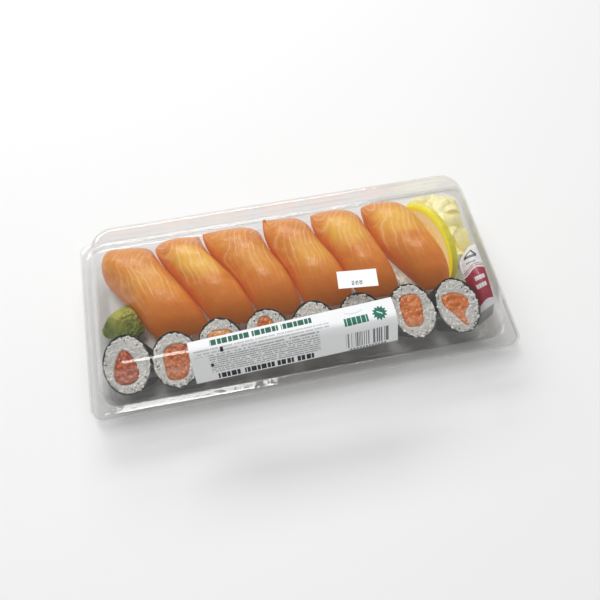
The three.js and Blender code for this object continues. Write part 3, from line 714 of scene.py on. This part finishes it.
def coreFinish(name, deep, light, pale, scale):
    # the faint glow is painted light
    made = Finish(name, (0.08, 0.0015, (1.0, 0.45, 0.2)), Specular_IOR_Level=0.6,
                  Emission_Color=light, Emission_Strength=0.05)
    where = made.where()
    lump = made.grain(where, scale, 3, 0.6, 0.5)
    chunk = made.cells(where, scale * 1.5)
    tone = made.ramp(lump, (0.3, deep), (0.52, light), (0.74, pale))
    # painted shade: darker towards the edges of the chopped pieces, in the grooves between them
    tone = made.layers(tone, (chunk.rise(0.45, 0.85) * 0.45, deep))
    return made.show(tone, 0.1 + 0.35 * lump, lump - chunk * 0.8, 0.8, 0.0008)


seaweed = noriFinish()
brightFlesh = coreFinish("brightSalmon", "ba5a1c", "d87830", "ec9e5a", 230)
coreFlesh = {  # the first three rolls have their own
    0: coreFinish("deepSalmon", "8c340a", "b24e16", "d0702c", 260),
    1: coreFinish("choppedSalmon", "96400e", "c05e1c", "e39646", 330),
    2: coreFinish("paleSalmon", "d07a30", "e6a05a", "f2c490", 200),
}


def makeNori(k):
    roll = rolls[k][0]
    heights = [i / 10 for i in range(11)]
    section = [(1, up) for up in heights] + [(2, up) for up in heights[::-1]]

    def place(x, y, up):
        across, angle = hypot(x, y) - 1, atan2(y, x)
        folds = rough(4 * cos(angle), 4 * sin(angle), up * 2, 1.3, k)
        ripple = wrap["ripple"] * max(0, folds) * up
        ragged = wrap["ragged"] * roughRound(angle, 12, 1.1, k + 9) * up ** wrap["raggedPower"]
        edge = oval(roll, wrap["nori"] * (1 - across) + ripple, angle)
        return rollPoint(roll, edge, up, ragged - 0.3 * up)

    bm = turned(section, wrap["around"], closed=True)
    move(bm, place)
    settle(f"roll_nori_{k + 1}", bm, [seaweed], sharp=45)


def riceGrains(bm, k, rng):  # strews grains over a roll's top face
    roll, core = rolls[k]
    kept = []
    for _ in range(wrap["tries"]):
        angle, across = rng.uniform(0, tau), sqrt(rng.uniform(0.0, 1.0))
        uneven = roughRound(angle, 9, wrap["unevenSize"], k + 21)
        near, far = coreOutline(core, angle, 0.5), oval(roll, wrap["trim"] + uneven, angle)
        spot = near.lerp(far, across)
        heading, tilt = rng.uniform(0, tau), rng.uniform(-0.2, 0.2)
        size, sink = rng.uniform(0.62, 0.86), rng.uniform(-0.8, -0.4)
        if any((spot - other).length < wrap["spacing"] for other in kept):
            continue
        kept.append(spot)
        toRim = (far - spot).length
        if min(toRim, (spot - near).length) < wrap["rimRoom"]:  # near an edge it stands or lies along it
            if rng.random() < wrap["upright"]:
                tilt = rng.choice((-1, 1)) * rng.uniform(0.5, 1.0)
            heading = angle + pi / 2 + rng.uniform(-0.5, 0.5)
        flat = cos(tilt)
        lying = Vector((cos(heading) * flat, sin(heading) * flat, sin(tilt)))
        lying.rotate(Matrix.Rotation(wrap["lean"], 3, "X"))
        sink -= 0.3 * ease(1 - toRim / 1.8)
        addGrain(bm, rollPoint(roll, spot, 1, sink), lying, size, 0)


def makeRollRice(k):
    roll, core = rolls[k]
    rng = random.Random(70 + k)
    top = [(1 + i / 9, 1) for i in range(9, -1, -1)]

    def place(x, y, up):
        across, angle = hypot(x, y) - 1, atan2(y, x)
        near, far = coreOutline(core, angle, pack["fit"]), oval(roll, wrap["nori"] + pack["fit"], angle)
        spot = near.lerp(far, across)
        lift = -0.15 + 0.3 * rough(spot.x, spot.y, 0, 1.1, k) - 0.8 * max(across - 0.8, 0) / 0.2
        return rollPoint(roll, spot, up, lift * up)

    bm = turned([(1, 0), (2, 0), (2, 0.5)] + top + [(1, 0.5)], wrap["around"], closed=True)
    move(bm, place)
    faceOut(bm)
    for face in bm.faces:
        face.material_index = 1
    riceGrains(bm, k, rng)
    for _ in range(wrap["flecks"]):  # torn flecks of seaweed near the rim
        angle = rng.uniform(0, tau)
        spot = oval(roll, 1.6 + 2.2 * rng.random() ** 2, angle)
        lying = Vector((cos(angle), sin(angle), rng.uniform(-0.4, 0.4)))
        addGrain(bm, rollPoint(roll, spot, 1, -0.1), lying, rng.uniform(0.16, 0.34), 2)
    settle(f"roll_rice_{k + 1}", bm, [looseRice, packedRice, seaweed], recalc=False)


def makeCore(k):
    roll, core = rolls[k]
    middle = Vector(core[5:7])
    side = [(0.97, 1), (1, 0.985), (1, 0.9), (1, 0.5), (1, 0), (0, 0)]

    def place(x, y, up):
        radius, angle = hypot(x, y), atan2(y, x)
        edge = coreOutline(core, angle, wrap["coreRagged"] * roughRound(angle, 3, 0.8, k))
        spot = middle.lerp(edge, radius)
        chop = wrap["chop"] * rough(*spot, 0, 2.2, k + 3) + wrap["fineChop"] * rough(*spot, 0, 0.9, k + 5)
        lift = wrap["coreRise"] + chop - wrap["coreEdge"] * max(radius - 0.85, 0) / 0.15
        return rollPoint(roll, spot, up, lift * up)

    bm = turned([(i / 16, 1) for i in range(16)] + side, wrap["around"])
    move(bm, place)
    settle(f"roll_salmon_{k + 1}", bm, [coreFlesh.get(k, brightFlesh)])


for k in range(len(rolls)):
    makeNori(k)
    makeRollRice(k)
    makeCore(k)
print("rolls made")


# height and inset of the clear space inside the shut pack, where soft food has to stay
room = {"insets": [(floorTop, 14.6), (3.2, 12.2), (15.5, 8.2), (43, 14), (45.6, 17)],
        "top": 45.4, "corner": 9.5}


def inRoom(place, gap=0.0):
    x, y, z = place.x, place.y, min(max(place.z, floorTop + gap), room["top"])
    corner, insets = room["corner"], room["insets"]
    inset = insets[0][1]
    for (lowZ, lowInset), (highZ, highInset) in zip(insets, insets[1:]):
        if lowZ <= z <= highZ:
            inset = mix(lowInset, highInset, (z - lowZ) / (highZ - lowZ))
    reachX, reachY = pack["length"] / 2 - inset - gap, pack["width"] / 2 - inset - gap
    overX, overY = abs(x) - (reachX - corner), abs(y) - (reachY - corner)
    if overX > 0 and overY > 0:
        far = hypot(overX, overY)
        if far > corner:
            x = copysign(reachX - corner + overX * corner / far, x)
            y = copysign(reachY - corner + overY * corner / far, y)
    else:
        x = max(-reachX, min(reachX, x))
        y = max(-reachY, min(reachY, y))
    return Vector((x, y, z))


paste = {
    "x": -98.5, "y": 0.6, "halfX": 13, "halfY": 12, "height": 24, "cutAt": -0.35, "footWidth": 0.7,
    "evenness": 0.82, "uneven": 0.3, "unevenSize": 0.55, "leanFrom": 0.3, "lean": (0.6, -0.9),
    "sag": 0.14, "tilt": 0.12, "pressing": 0.85, "horn": (-2.6, -0.6, 0.8), "torn": 2.0, "fineTorn": 1.1,
    # the top tone is painted light on the paste's top
    "tones": ("566423", "7b8a36", "a8aa46"), "top": "bdb64e",
    "cuts": [  # each pressed face's normal, and its reach from the middle
        (-0.8, -0.5, 0.6, 8.6), (0.1, -0.9, 0.8, 8.4), (-0.5, 0.9, 0.6, 8.8), (-0.1, 0.1, 1, 10.4)],
}


def wasabiFinish():
    made = Finish("wasabiPaste", (0.1, 0.0015))
    where = made.where()
    lump = made.grain(where, 160, 5, 0.65)
    _, _, z = made.axes(where)
    tone = made.ramp(lump, *zip((0.3, 0.5, 0.72), paste["tones"]))
    # painted light: the top paler, as lit from above
    tone = made.layers(tone, (z.rise(0.015, 0.023) * 0.6, paste["top"]))
    return made.show(tone, 0.38 + 0.3 * lump, made.grain(where, 600, 4, 0.7), 0.7, 0.0006)


def makeWasabi():
    bm = bmesh.new()
    bmesh.ops.create_icosphere(bm, subdivisions=6, radius=1)
    height, cutAt = paste["height"], paste["cutAt"]
    middle = Vector((paste["x"], paste["y"], height / 2))

    def place(ux, uy, uz):
        uneven = paste["evenness"] + paste["uneven"] * bumps(ux, uy, uz, paste["unevenSize"], 3.1)
        rise = (max(uz, cutAt) - cutAt) / (1 - cutAt)
        slim = mix(paste["footWidth"], 1, min(rise * 2, 1)) * uneven
        leanX, leanY = [share * (rise - paste["leanFrom"]) for share in paste["lean"]]
        at = Vector((paste["x"] + paste["halfX"] * slim * (ux + paste["tilt"] * uz) + leanX,
                     paste["y"] + paste["halfY"] * slim * uy + leanY,
                     floorTop + (height - floorTop) * rise * (1 - paste["sag"] * (1 - uneven))))
        for nx, ny, nz, reach in paste["cuts"]:
            normal = Vector((nx, ny, nz)).normalized()
            at -= normal * max((at - middle).dot(normal) - reach, 0) * paste["pressing"]
        horn = exp(-((ux + 0.9) / 0.35) ** 2 - ((uy + 0.2) / 0.3) ** 2 - ((uz - 0.15) / 0.3) ** 2)
        at += Vector(paste["horn"]) * horn
        torn = paste["torn"] * (0.5 - abs(rough(ux, uy, uz, 0.3, 2)))
        torn += paste["fineTorn"] * rough(ux, uy, uz, 0.1, 4)
        rugged = ease((uz - 0.1) / 0.6) * ease((ux + 0.5) / 0.8)
        if uz > -0.3:
            at = at.lerp(middle, -0.09 * torn * rugged + 0.02)
        at.x = min(at.x, creaseX(0, at.y, at.z) - pack["fit"])
        return inRoom(at)

    move(bm, place)
    settle("wasabi", bm, [wasabiFinish()])


makeWasabi()


citrus = {
    "place": (88.3, 20.6, 9.2), "turns": (20, 10, 10), "radius": 28, "thickness": 4.6,
    "segments": 10, "rind": 3.6, "pith": 9.5, "around": 60, "glow": 0.42, "pale": "f4efcf",
    "peel": ("e8d922", "f6ec50"), "flesh": ("e2cf6a", "f3eaa6"), "white": "e6e2a6", "rim": "dedb30",
}


def lemonFinishes():
    peel = Finish("lemonPeel", (0.1, 0.001))
    where = peel.where()
    tone = peel.ramp(peel.grain(where, 220, 3), *zip((0.35, 0.7), citrus["peel"]))
    peel.show(tone, 0.35, peel.cells(where, 900), 0.5, 0.0004)
    # the cut face glows in its own colours: painted light that lifts its shade
    cut = Finish("lemonCut", (0.5, 0.004), Emission_Strength=citrus["glow"])
    y, z, _ = cut.axes(cut.lay("disc"))
    radius = (y * y + z * z) ** 0.5
    angle = z.angleOver(y)
    wall = (1 - angle.zigzag(tau / citrus["segments"])) * radius
    white, rim = citrus["radius"] - citrus["pith"], citrus["radius"] - citrus["rind"]
    streaks = cut.grain(cut.join(angle * 9, radius * 0.12), 3.0, 3, 0.6)
    skin = cut.layers(
        cut.ramp(streaks, *zip((0.3, 0.7), citrus["flesh"])),
        (1 - wall.rise(0.5, 1.3), citrus["pale"]),
        (radius.rise(white - 0.5, white + 1.0), citrus["white"]),
        (radius.rise(rim - 1.2, rim + 1.0), citrus["rim"]),
        (1 - radius.rise(0.8, 2.0), citrus["pale"]))
    cut.put({"Emission_Color": skin})
    return [peel, cut.show(skin, 0.3, streaks, 0.3, 0.0006)]


def makeLemon():
    radius, thick = citrus["radius"], citrus["thickness"]
    section = [(0, 0), (0, radius - 1.2), (-0.25, radius - 0.4), (-0.9, radius), (-thick / 2, radius + 0.15),
               (0.9 - thick, radius), (0.25 - thick, radius - 0.4), (-thick, radius - 1.2),
               (-thick, radius - 3.4), (0.5 - thick, radius - 4.2), (0.5 - thick, 0)]
    bm = bmesh.new()
    chain = [bm.verts.new((x, r, 0)) for x, r in section]
    face = bm.faces.new(chain)
    bmesh.ops.spin(bm, geom=[face] + list(face.edges) + chain, cent=(0, 0, 0), axis=(1, 0, 0),
                   angle=pi, steps=citrus["around"])
    bmesh.ops.remove_doubles(bm, verts=bm.verts, dist=1e-5)
    bmesh.ops.dissolve_degenerate(bm, dist=1e-5, edges=bm.edges)
    mark(bm, "disc", {vert: (vert.co.y, vert.co.z) for vert in bm.verts})
    for part in bm.faces:
        middle = part.calc_center_median()
        outer = hypot(middle.y, middle.z) > radius - 0.3 and middle.z > 0.05
        part.material_index = 0 if outer else 1
    stand = posed(citrus["place"], *citrus["turns"])
    bmesh.ops.transform(bm, matrix=stand, verts=bm.verts)
    settle("lemon_slice", bm, lemonFinishes(), sharp=60)
    return stand.inverted()


intoLemon = makeLemon()
print("wasabi and lemon made")


heap = {
    "x": 97.5, "y": 25, "halfX": 13, "halfY": 21, "core": 26.6, "coreRelief": 1.2, "sheet": 1.05,
    "gap": 0.2, "softening": 6, "glow": 0.2, "tones": ("ddd08a", "e2d9a4", "ece6c6"),
    "fibre": "f3f0dc", "spot": "b98a3c",
}
# place on the heap, width, length, droop, turn, roll and pitch of each folded slice
petals = [
    (-7, 15, 25, 15, 23, 7, 70, -14, 8), (3, 11, 30, 17, 24, 6, 35, 6, 4),
    (8, 3, 28, 14, 24, 8, -15, 20, 0), (1, 1, 31, 15, 21, 7, 100, -6, -6),
    (7, -8, 25, 13, 22, 7, 20, 10, -14), (3, -15, 20, 13, 19, 5, 65, 4, -24),
    (-5, 8, 30, 12, 18, 5, 150, -12, 10), (9, 14, 25, 12, 20, 6, -40, 24, 8),
    (-1, 18, 22, 14, 18, 7, 5, -4, 26), (9, -2, 22, 12, 22, 6, 60, 30, -4),
    (0, -6, 29, 12, 17, 4, -30, 2, -12), (5, 8, 32, 11, 16, 5, 80, 10, 0),
]


def gingerFinish():
    # the ginger glows in its own colours: painted light that lifts its shade
    made = Finish("pickledGinger", (0.45, 0.004, (1.0, 0.9, 0.5)), Specular_IOR_Level=0.5,
                  Emission_Strength=heap["glow"])
    where = made.where()
    x, y, z = made.axes(where)
    cloud = made.grain(where, 90, 3, 0.6)
    fibre = made.grain(made.join(x * 3.0, y * 0.6, z * 3.0), 160, 3, 0.6)
    tone = made.layers(
        made.ramp(cloud, *zip((0.28, 0.5, 0.7), heap["tones"])),
        (fibre.rise(0.5, 0.75) * 0.4, heap["fibre"]),
        (made.grain(where, 45, 2, 0.5).rise(0.62, 0.7) * 0.55, heap["spot"]))
    made.put({"Emission_Color": tone})
    return made.show(tone, 0.18 + 0.25 * cloud, fibre, 0.5, 0.0005)


def tucked(place, gap=0.0):  # inside the pack and behind the lemon's cut face
    local = intoLemon @ inRoom(place, gap)
    local.x = max(local.x, pack["fit"])
    return inRoom(intoLemon.inverted() @ local, gap)


def makeGinger():
    bm = bmesh.new()
    bmesh.ops.create_icosphere(bm, subdivisions=5, radius=1)

    def core(ux, uy, uz):
        x, y = heap["x"] + heap["halfX"] * ux, heap["y"] + heap["halfY"] * uy
        at = Vector((x, y, max(heap["core"] * uz, 0)))
        if uz > 0.05:
            at.z -= heap["coreRelief"] * abs(rough(*at, 5, 1))
        return tucked(at)

    move(bm, core)
    for number, (dx, dy, z, wide, long, fold, *angles) in enumerate(petals):
        before = set(bm.verts)
        bmesh.ops.create_grid(bm, x_segments=18, y_segments=26, size=0.5)
        verts = [v for v in bm.verts if v not in before]
        faces = {f for v in verts for f in v.link_faces}
        for vert in verts:
            u, w = vert.co.x, vert.co.y
            slim = sqrt(max(1 - (2 * w) ** 4, 0.02)) * (1 - 0.12 * rough(u * 3, w * 3, 0, 0.5, number))
            x, y = u * wide * slim, w * long
            lift = 1.2 * sin(x / 2 + number) + 0.9 * sin(y * 0.45 + 2 * number)
            lift += 1.3 * rough(x, y, 0, 5, number) + 0.2 * rough(x, y, 0, 2, number)
            vert.co = (x, y, lift - fold * 4 * w * w - 2.0 * (2 * u) ** 4)
        settled = posed((heap["x"] + dx, heap["y"] + dy, z), *angles)
        bmesh.ops.transform(bm, matrix=settled, verts=verts)
        bmesh.ops.solidify(bm, geom=list(faces), thickness=heap["sheet"])
        sheet = [v for v in bm.verts if v not in before]
        for vert in sheet:
            vert.co = tucked(vert.co, heap["gap"])
        soften(bm, sheet, heap["softening"])
    settle("ginger", bm, [gingerFinish()])


makeGinger()
print("ginger made")


sachet = {
    "spine": [(106.4, 1.5, 31.6), (102.9, -7.5, 30.8), (103.1, -18.5, 28.9), (105.4, -29.5, 22.6),
              (105, -38.5, 13.2)],
    "half": 6.7, "fill": 2.45, "film": 0.15, "steep": (22, 62), "tip": 0.75, "tipPower": 1.5,
    "seams": (0.88, 0.94), "wrinkle": 0.25,
    "paper": "e9e9ea", "red": "a3203a", "ink": "2b2b33", "blocks": "f2eef0", "seam": "8d8d8c",
}


def alongSpine(share):  # a smooth run through the spine's points
    points = [Vector(p) for p in sachet["spine"]]
    last = len(points) - 1
    points = [points[0] * 2 - points[1]] + points + [points[-1] * 2 - points[-2]]
    place = min(max(share, 0), 1) * last
    i = min(int(place), last - 1)
    t = place - i
    a, b, c, d = points[i:i + 4]
    square, cube = 2 * a - 5 * b + 4 * c - d, 3 * b - a - 3 * c + d
    return 0.5 * (2 * b + (c - a) * t + square * t * t + cube * t ** 3)


def sachetFinish():
    made = Finish("printedFilm", Specular_IOR_Level=0.6, Coat_Weight=0.3, Coat_Roughness=0.1)
    across, share, _ = made.axes(made.lay("print"))
    off = abs(across)

    def field(top, foot, left, right, soft=0.02):
        return share.within(top, foot, 0.004) * left.within(*right, soft)

    wavy = share + 0.03 * (across * 2.6 + 0.6).sine()
    red = wavy.within(0.43, 0.80, 0.004) + wavy.within(0.375, 0.385, 0.003) + wavy.within(0.400, 0.408, 0.003)
    motif = (off * 1.1 + (0.13 - share) * 5.6).within(-0.04, 0.2, 0.03) * share.within(0.11, 0.215, 0.004)
    motif = motif.atLeast(field(0.205, 0.25, off, (-0.1, 0.56), 0.03))
    block = field(0.50, 0.545, across, (-0.1, 0.75)).atLeast(field(0.585, 0.63, across, (-0.25, 0.65)))
    tone = made.layers(
        made.ramp(red, (0, sachet["paper"]), (1, sachet["red"])),
        (motif.atLeast(share.within(0.30, 0.325, 0.003) * off.within(-0.1, 0.42, 0.02) * 0.6), sachet["ink"]),
        (block * (across * 4.2).dashes(0.12, 0.05), sachet["blocks"]),
        (share.rise(0.86, 0.9), sachet["seam"]))
    crinkle = made.grain(made.join(across * 1.2, share * 16), 2.6, 3, 0.6)
    return made.show(tone, 0.22 + 0.2 * crinkle, crinkle, 0.5, 0.0008)


def makeSachet():
    bm = board(19, 89)
    uv = {}
    for vert in bm.verts:
        across, along, side = vert.co
        share = (1 - along) / 2
        run = (alongSpine(share + 0.01) - alongSpine(share - 0.01)).normalized()
        turn = radians(mix(*sachet["steep"], share ** 2))
        width = Vector((cos(turn), 0, sin(turn)))
        outward = width.cross(run).normalized()
        narrow = 1 - sachet["tip"] * max(1 - share * 4, 0) ** sachet["tipPower"]
        sideSeam, endSeam = sachet["seams"]
        swell = (1 - min(abs(across) / sideSeam, 1) ** 2) * (1 - min(abs(along) / endSeam, 1) ** 4)
        swell = max(swell, 0) * (1 + 0.18 * rough(across * 2, share * 18, side, 1, 5))
        half = sachet["film"] + sachet["fill"] * swell
        wrinkle = sachet["wrinkle"] * rough(across * 3, share * 30, 0, 1, 3) * (1 - swell)
        place = alongSpine(share) + width * across * sachet["half"] * narrow
        vert.co = inRoom(place + outward * (copysign(half, side) + wrinkle), 0.1)
        uv[vert] = (across, share)
    mark(bm, "print", uv)
    settle("soy_packet", bm, [sachetFinish()], sharp=70)


makeSachet()
print("packet made")


label = {
    "left": -62.5, "right": 47.6, "top": -35.6, "foot": 27.2, "skew": 3.1, "paper": 0.25, "gap": 0.15,
    "curl": 0.12, "white": "f4f5f6", "grey": "e6e6e6", "title": "17604d", "badge": "14705a",
    "swoosh": "8aa39a", "text": "4c4e50", "black": "1d1f22", "code": "44464a",
}
printed = {  # left, right, top and foot of each field, from the label's top left corner
    "title": (11.3, 65.5, 1.5, 4.7), "block": (82, 95, 6.8, 10.8), "weight": (12.2, 64, 24.4, 28.3),
    "markHigh": (16, 17.6, 6.2, 8.6), "markLow": (9.6, 11.2, 15.5, 18.2),
    "stripes": (81.8, 105, 15.6, 26.8), "figures": (83, 104, 27.4, 29.0),
}


def labelPath(drift):
    levels = [(inset - pack["width"] / 2, z, 0) for inset, z, _ in lidLevels[:4]]
    (wallY, wallZ, _), (lowY, lowZ, _) = levels[2:]
    footZ = label["foot"] + drift
    slope = (lowY - wallY) / (lowZ - wallZ)
    foot = (wallY + (footZ - wallZ) * slope, footZ, 0)
    path = [(label["top"] + drift, pack["top"], 0)] + levels[:3] + [foot]
    return [Vector((y, z)) for y, z, _ in rounded(path, bend["reach"], bend["steps"])]


def alongPath(points, share):
    runs = [(b - a).length for a, b in zip(points, points[1:])]
    left = share * sum(runs)
    for (a, b), run in zip(zip(points, points[1:]), runs):
        if left <= run or b is points[-1]:
            normal = Vector((b.y - a.y, a.x - b.x)).normalized()
            return a.lerp(b, left / run), normal, share * sum(runs)
        left -= run


def labelFinish():
    made = Finish("printedPaper", Specular_IOR_Level=0.4)
    u, w, _ = made.axes(made.lay("print"))
    speck = made.grain(made.join(u, w), 1.6, 3, 0.7)
    sway = (u * 1.1).sine() * 0.12

    def field(name):
        left, right, top, foot = printed[name]
        return u.within(left, right, 0.12) * w.within(top, foot, 0.1)

    def spaced(row, *gaps):  # clears the gaps between words
        for left, right in gaps:
            row = row * (1 - u.within(left, right, 0.1))
        return row

    title = spaced(field("title") * (u / 2.9 + sway).dashes(0.16, 0.03), (32.0, 33.6), (47.6, 49.2))
    swoosh = (w + 0.05 * (u - 88) ** 2.0).within(4.3, 5.2, 0.2) * u.within(83, 93, 0.3)
    du, dw = u - 101.6, w - 7.6  # a round badge with points and a slash
    far = (du * du + dw * dw) ** 0.5
    point = dw.angleOver(du).zigzag(tau / 12)
    badge = 1 - (far - 2.9 - 1.3 * point).rise(-0.12, 0.12)
    slash = (du * 0.82 + dw * 0.57).within(-1.7, 1.7, 0.15) * (du * -0.57 + dw * 0.82).within(-0.3, 0.25, 0.1)
    block = field("block") * (u / 2.6).dashes(0.13, 0.04)
    line = (w - 0.5 - 0.012 * u) / 1.62  # rows of small text
    rows = (line % 1.0).within(0.2, 0.66, 0.09) * w.within(5.6, 23.4, 0.1)
    words = made.grain(made.join(u * 0.8, (line - line % 1.0) * 5.3), 1.0, 1).rise(0.4, 0.44)
    lower = w.rise(9.2, 9.6)
    indent = u.within(2.0, 74, 0.4) * (1 - lower) + u.within(9.5, 68, 0.4) * lower
    text = rows * indent * words * (0.4 + 0.9 * made.grain(made.join(u * 3, w * 0.4), 1.5, 1))
    weight = field("weight") * (u / 2.7 + sway).dashes(0.2, 0.04)
    weight = spaced(weight, (24.6, 26.4), (42.5, 44.0), (53, 55))
    dark = field("markHigh").atLeast(field("markLow"))
    code = made.grain(made.join(u * 2.6 - (u * 2.6) % 1.0, 3.0), 7.3, 0).rise(0.49, 0.5)
    figures = field("figures") * (u / 1.7).dashes(0.3, 0.05)
    tone = made.layers(
        made.ramp(speck.rise(0.3, 0.8) * 0.15, (0, label["white"]), (1, label["grey"])),
        (title, label["title"]),
        (swoosh * 0.25, label["swoosh"]),
        (block.atLeast(badge * (1 - slash)), label["badge"]),
        (text * (0.5 + 0.25 * lower), label["text"]),
        (weight.atLeast(dark), label["black"]),
        (code * field("stripes") * 0.85 + figures * 0.7, label["code"]))
    return made.show(tone, 0.42 + 0.15 * speck, speck, 0.1, 0.0002)


def plainPaper():  # the unprinted back of a label
    made = Finish("plainPaper", Specular_IOR_Level=0.3)
    speck = made.grain(made.where(), 500, 3, 0.6)
    tone = made.ramp(speck.rise(0.3, 0.7), (0, "eeeeec"), (1, "e2e2de"))
    return made.show(tone, 0.6 + 0.2 * speck, speck, 0.2, 0.0002)


paperBack = plainPaper()


def backed(bm, thickness, outward):  # gives a printed sheet its thickness and its plain back
    bmesh.ops.solidify(bm, geom=bm.faces[:], thickness=thickness)
    bmesh.ops.recalc_face_normals(bm, faces=bm.faces)
    for face in bm.faces:
        face.material_index = int(face.normal.dot(outward) < 0.1)


def makeLabel():
    bm = bmesh.new()
    bmesh.ops.create_grid(bm, x_segments=56, y_segments=60, size=0.5)
    slope, uv = tan(radians(label["skew"])), {}
    middleX = (label["left"] + label["right"]) / 2
    for vert in bm.verts:
        share, down = vert.co.x + 0.5, 0.5 - vert.co.y
        x = mix(label["left"], label["right"], share)
        place, normal, run = alongPath(labelPath((x - middleX) * slope), down)
        curl = label["curl"] * ease(rough(share * 9, down * 4, 0, 1, 6) + 0.5)
        y, z = place + normal * (label["gap"] + label["paper"] + curl)
        drop = label["top"] - y + pack["top"] - z
        vert.co = (x + drop * slope * 0.5, y, z)
        uv[vert] = (x - label["left"], run)
    mark(bm, "print", uv)
    bmesh.ops.recalc_face_normals(bm, faces=bm.faces)
    backed(bm, label["paper"] * 0.8, Vector((0, -0.5, 1)))
    settle("label", bm, [labelFinish(), paperBack], sharp=60)


sticker = {"x": 32.8, "y": -17.6, "wide": 21.6, "high": 11, "turn": -6, "thickness": 0.18, "curl": 0.12,
           "lift": 0.2, "white": "f9fafb", "ink": "36363c"}


def stickerFinish():
    made = Finish("stickerPaper", Specular_IOR_Level=0.4)
    u, w, _ = made.axes(made.lay("print"))
    speck = made.grain(made.join(u, w), 1.4, 2)
    ink = made.grain(made.join(u, w, 2.0), 1.9, 1).rise(0.42, 0.5)
    marks = u.within(7.4, 13.8, 0.1) * w.within(6.6, 9.4, 0.1) * (u / 2.2).dashes(0.25, 0.05) * ink
    tone = made.ramp(marks * 0.8, (0, sticker["white"]), (1, sticker["ink"]))
    return made.show(tone, 0.4 + 0.1 * speck, speck, 0.08, 0.0002)


def makeSticker():
    bm = bmesh.new()
    bmesh.ops.create_grid(bm, x_segments=16, y_segments=8, size=0.5)
    uv, turn = {}, Matrix.Rotation(radians(sticker["turn"]), 3, "Z")
    z = pack["top"] + label["gap"] + sticker["lift"]
    for vert in bm.verts:
        x, y = vert.co.x * sticker["wide"], vert.co.y * sticker["high"]
        uv[vert] = (x + sticker["wide"] / 2, sticker["high"] / 2 - y)
        curl = sticker["curl"] * ease((x / sticker["wide"] + y / sticker["high"] - 0.5) * 2)
        vert.co = turn @ Vector((x, y, 0)) + Vector((sticker["x"], sticker["y"], z + curl))
    mark(bm, "print", uv)
    backed(bm, sticker["thickness"], Vector((0, 0, 1)))
    settle("price_sticker", bm, [stickerFinish(), paperBack], sharp=60)


makeLabel()
makeSticker()
print("label and sticker made")
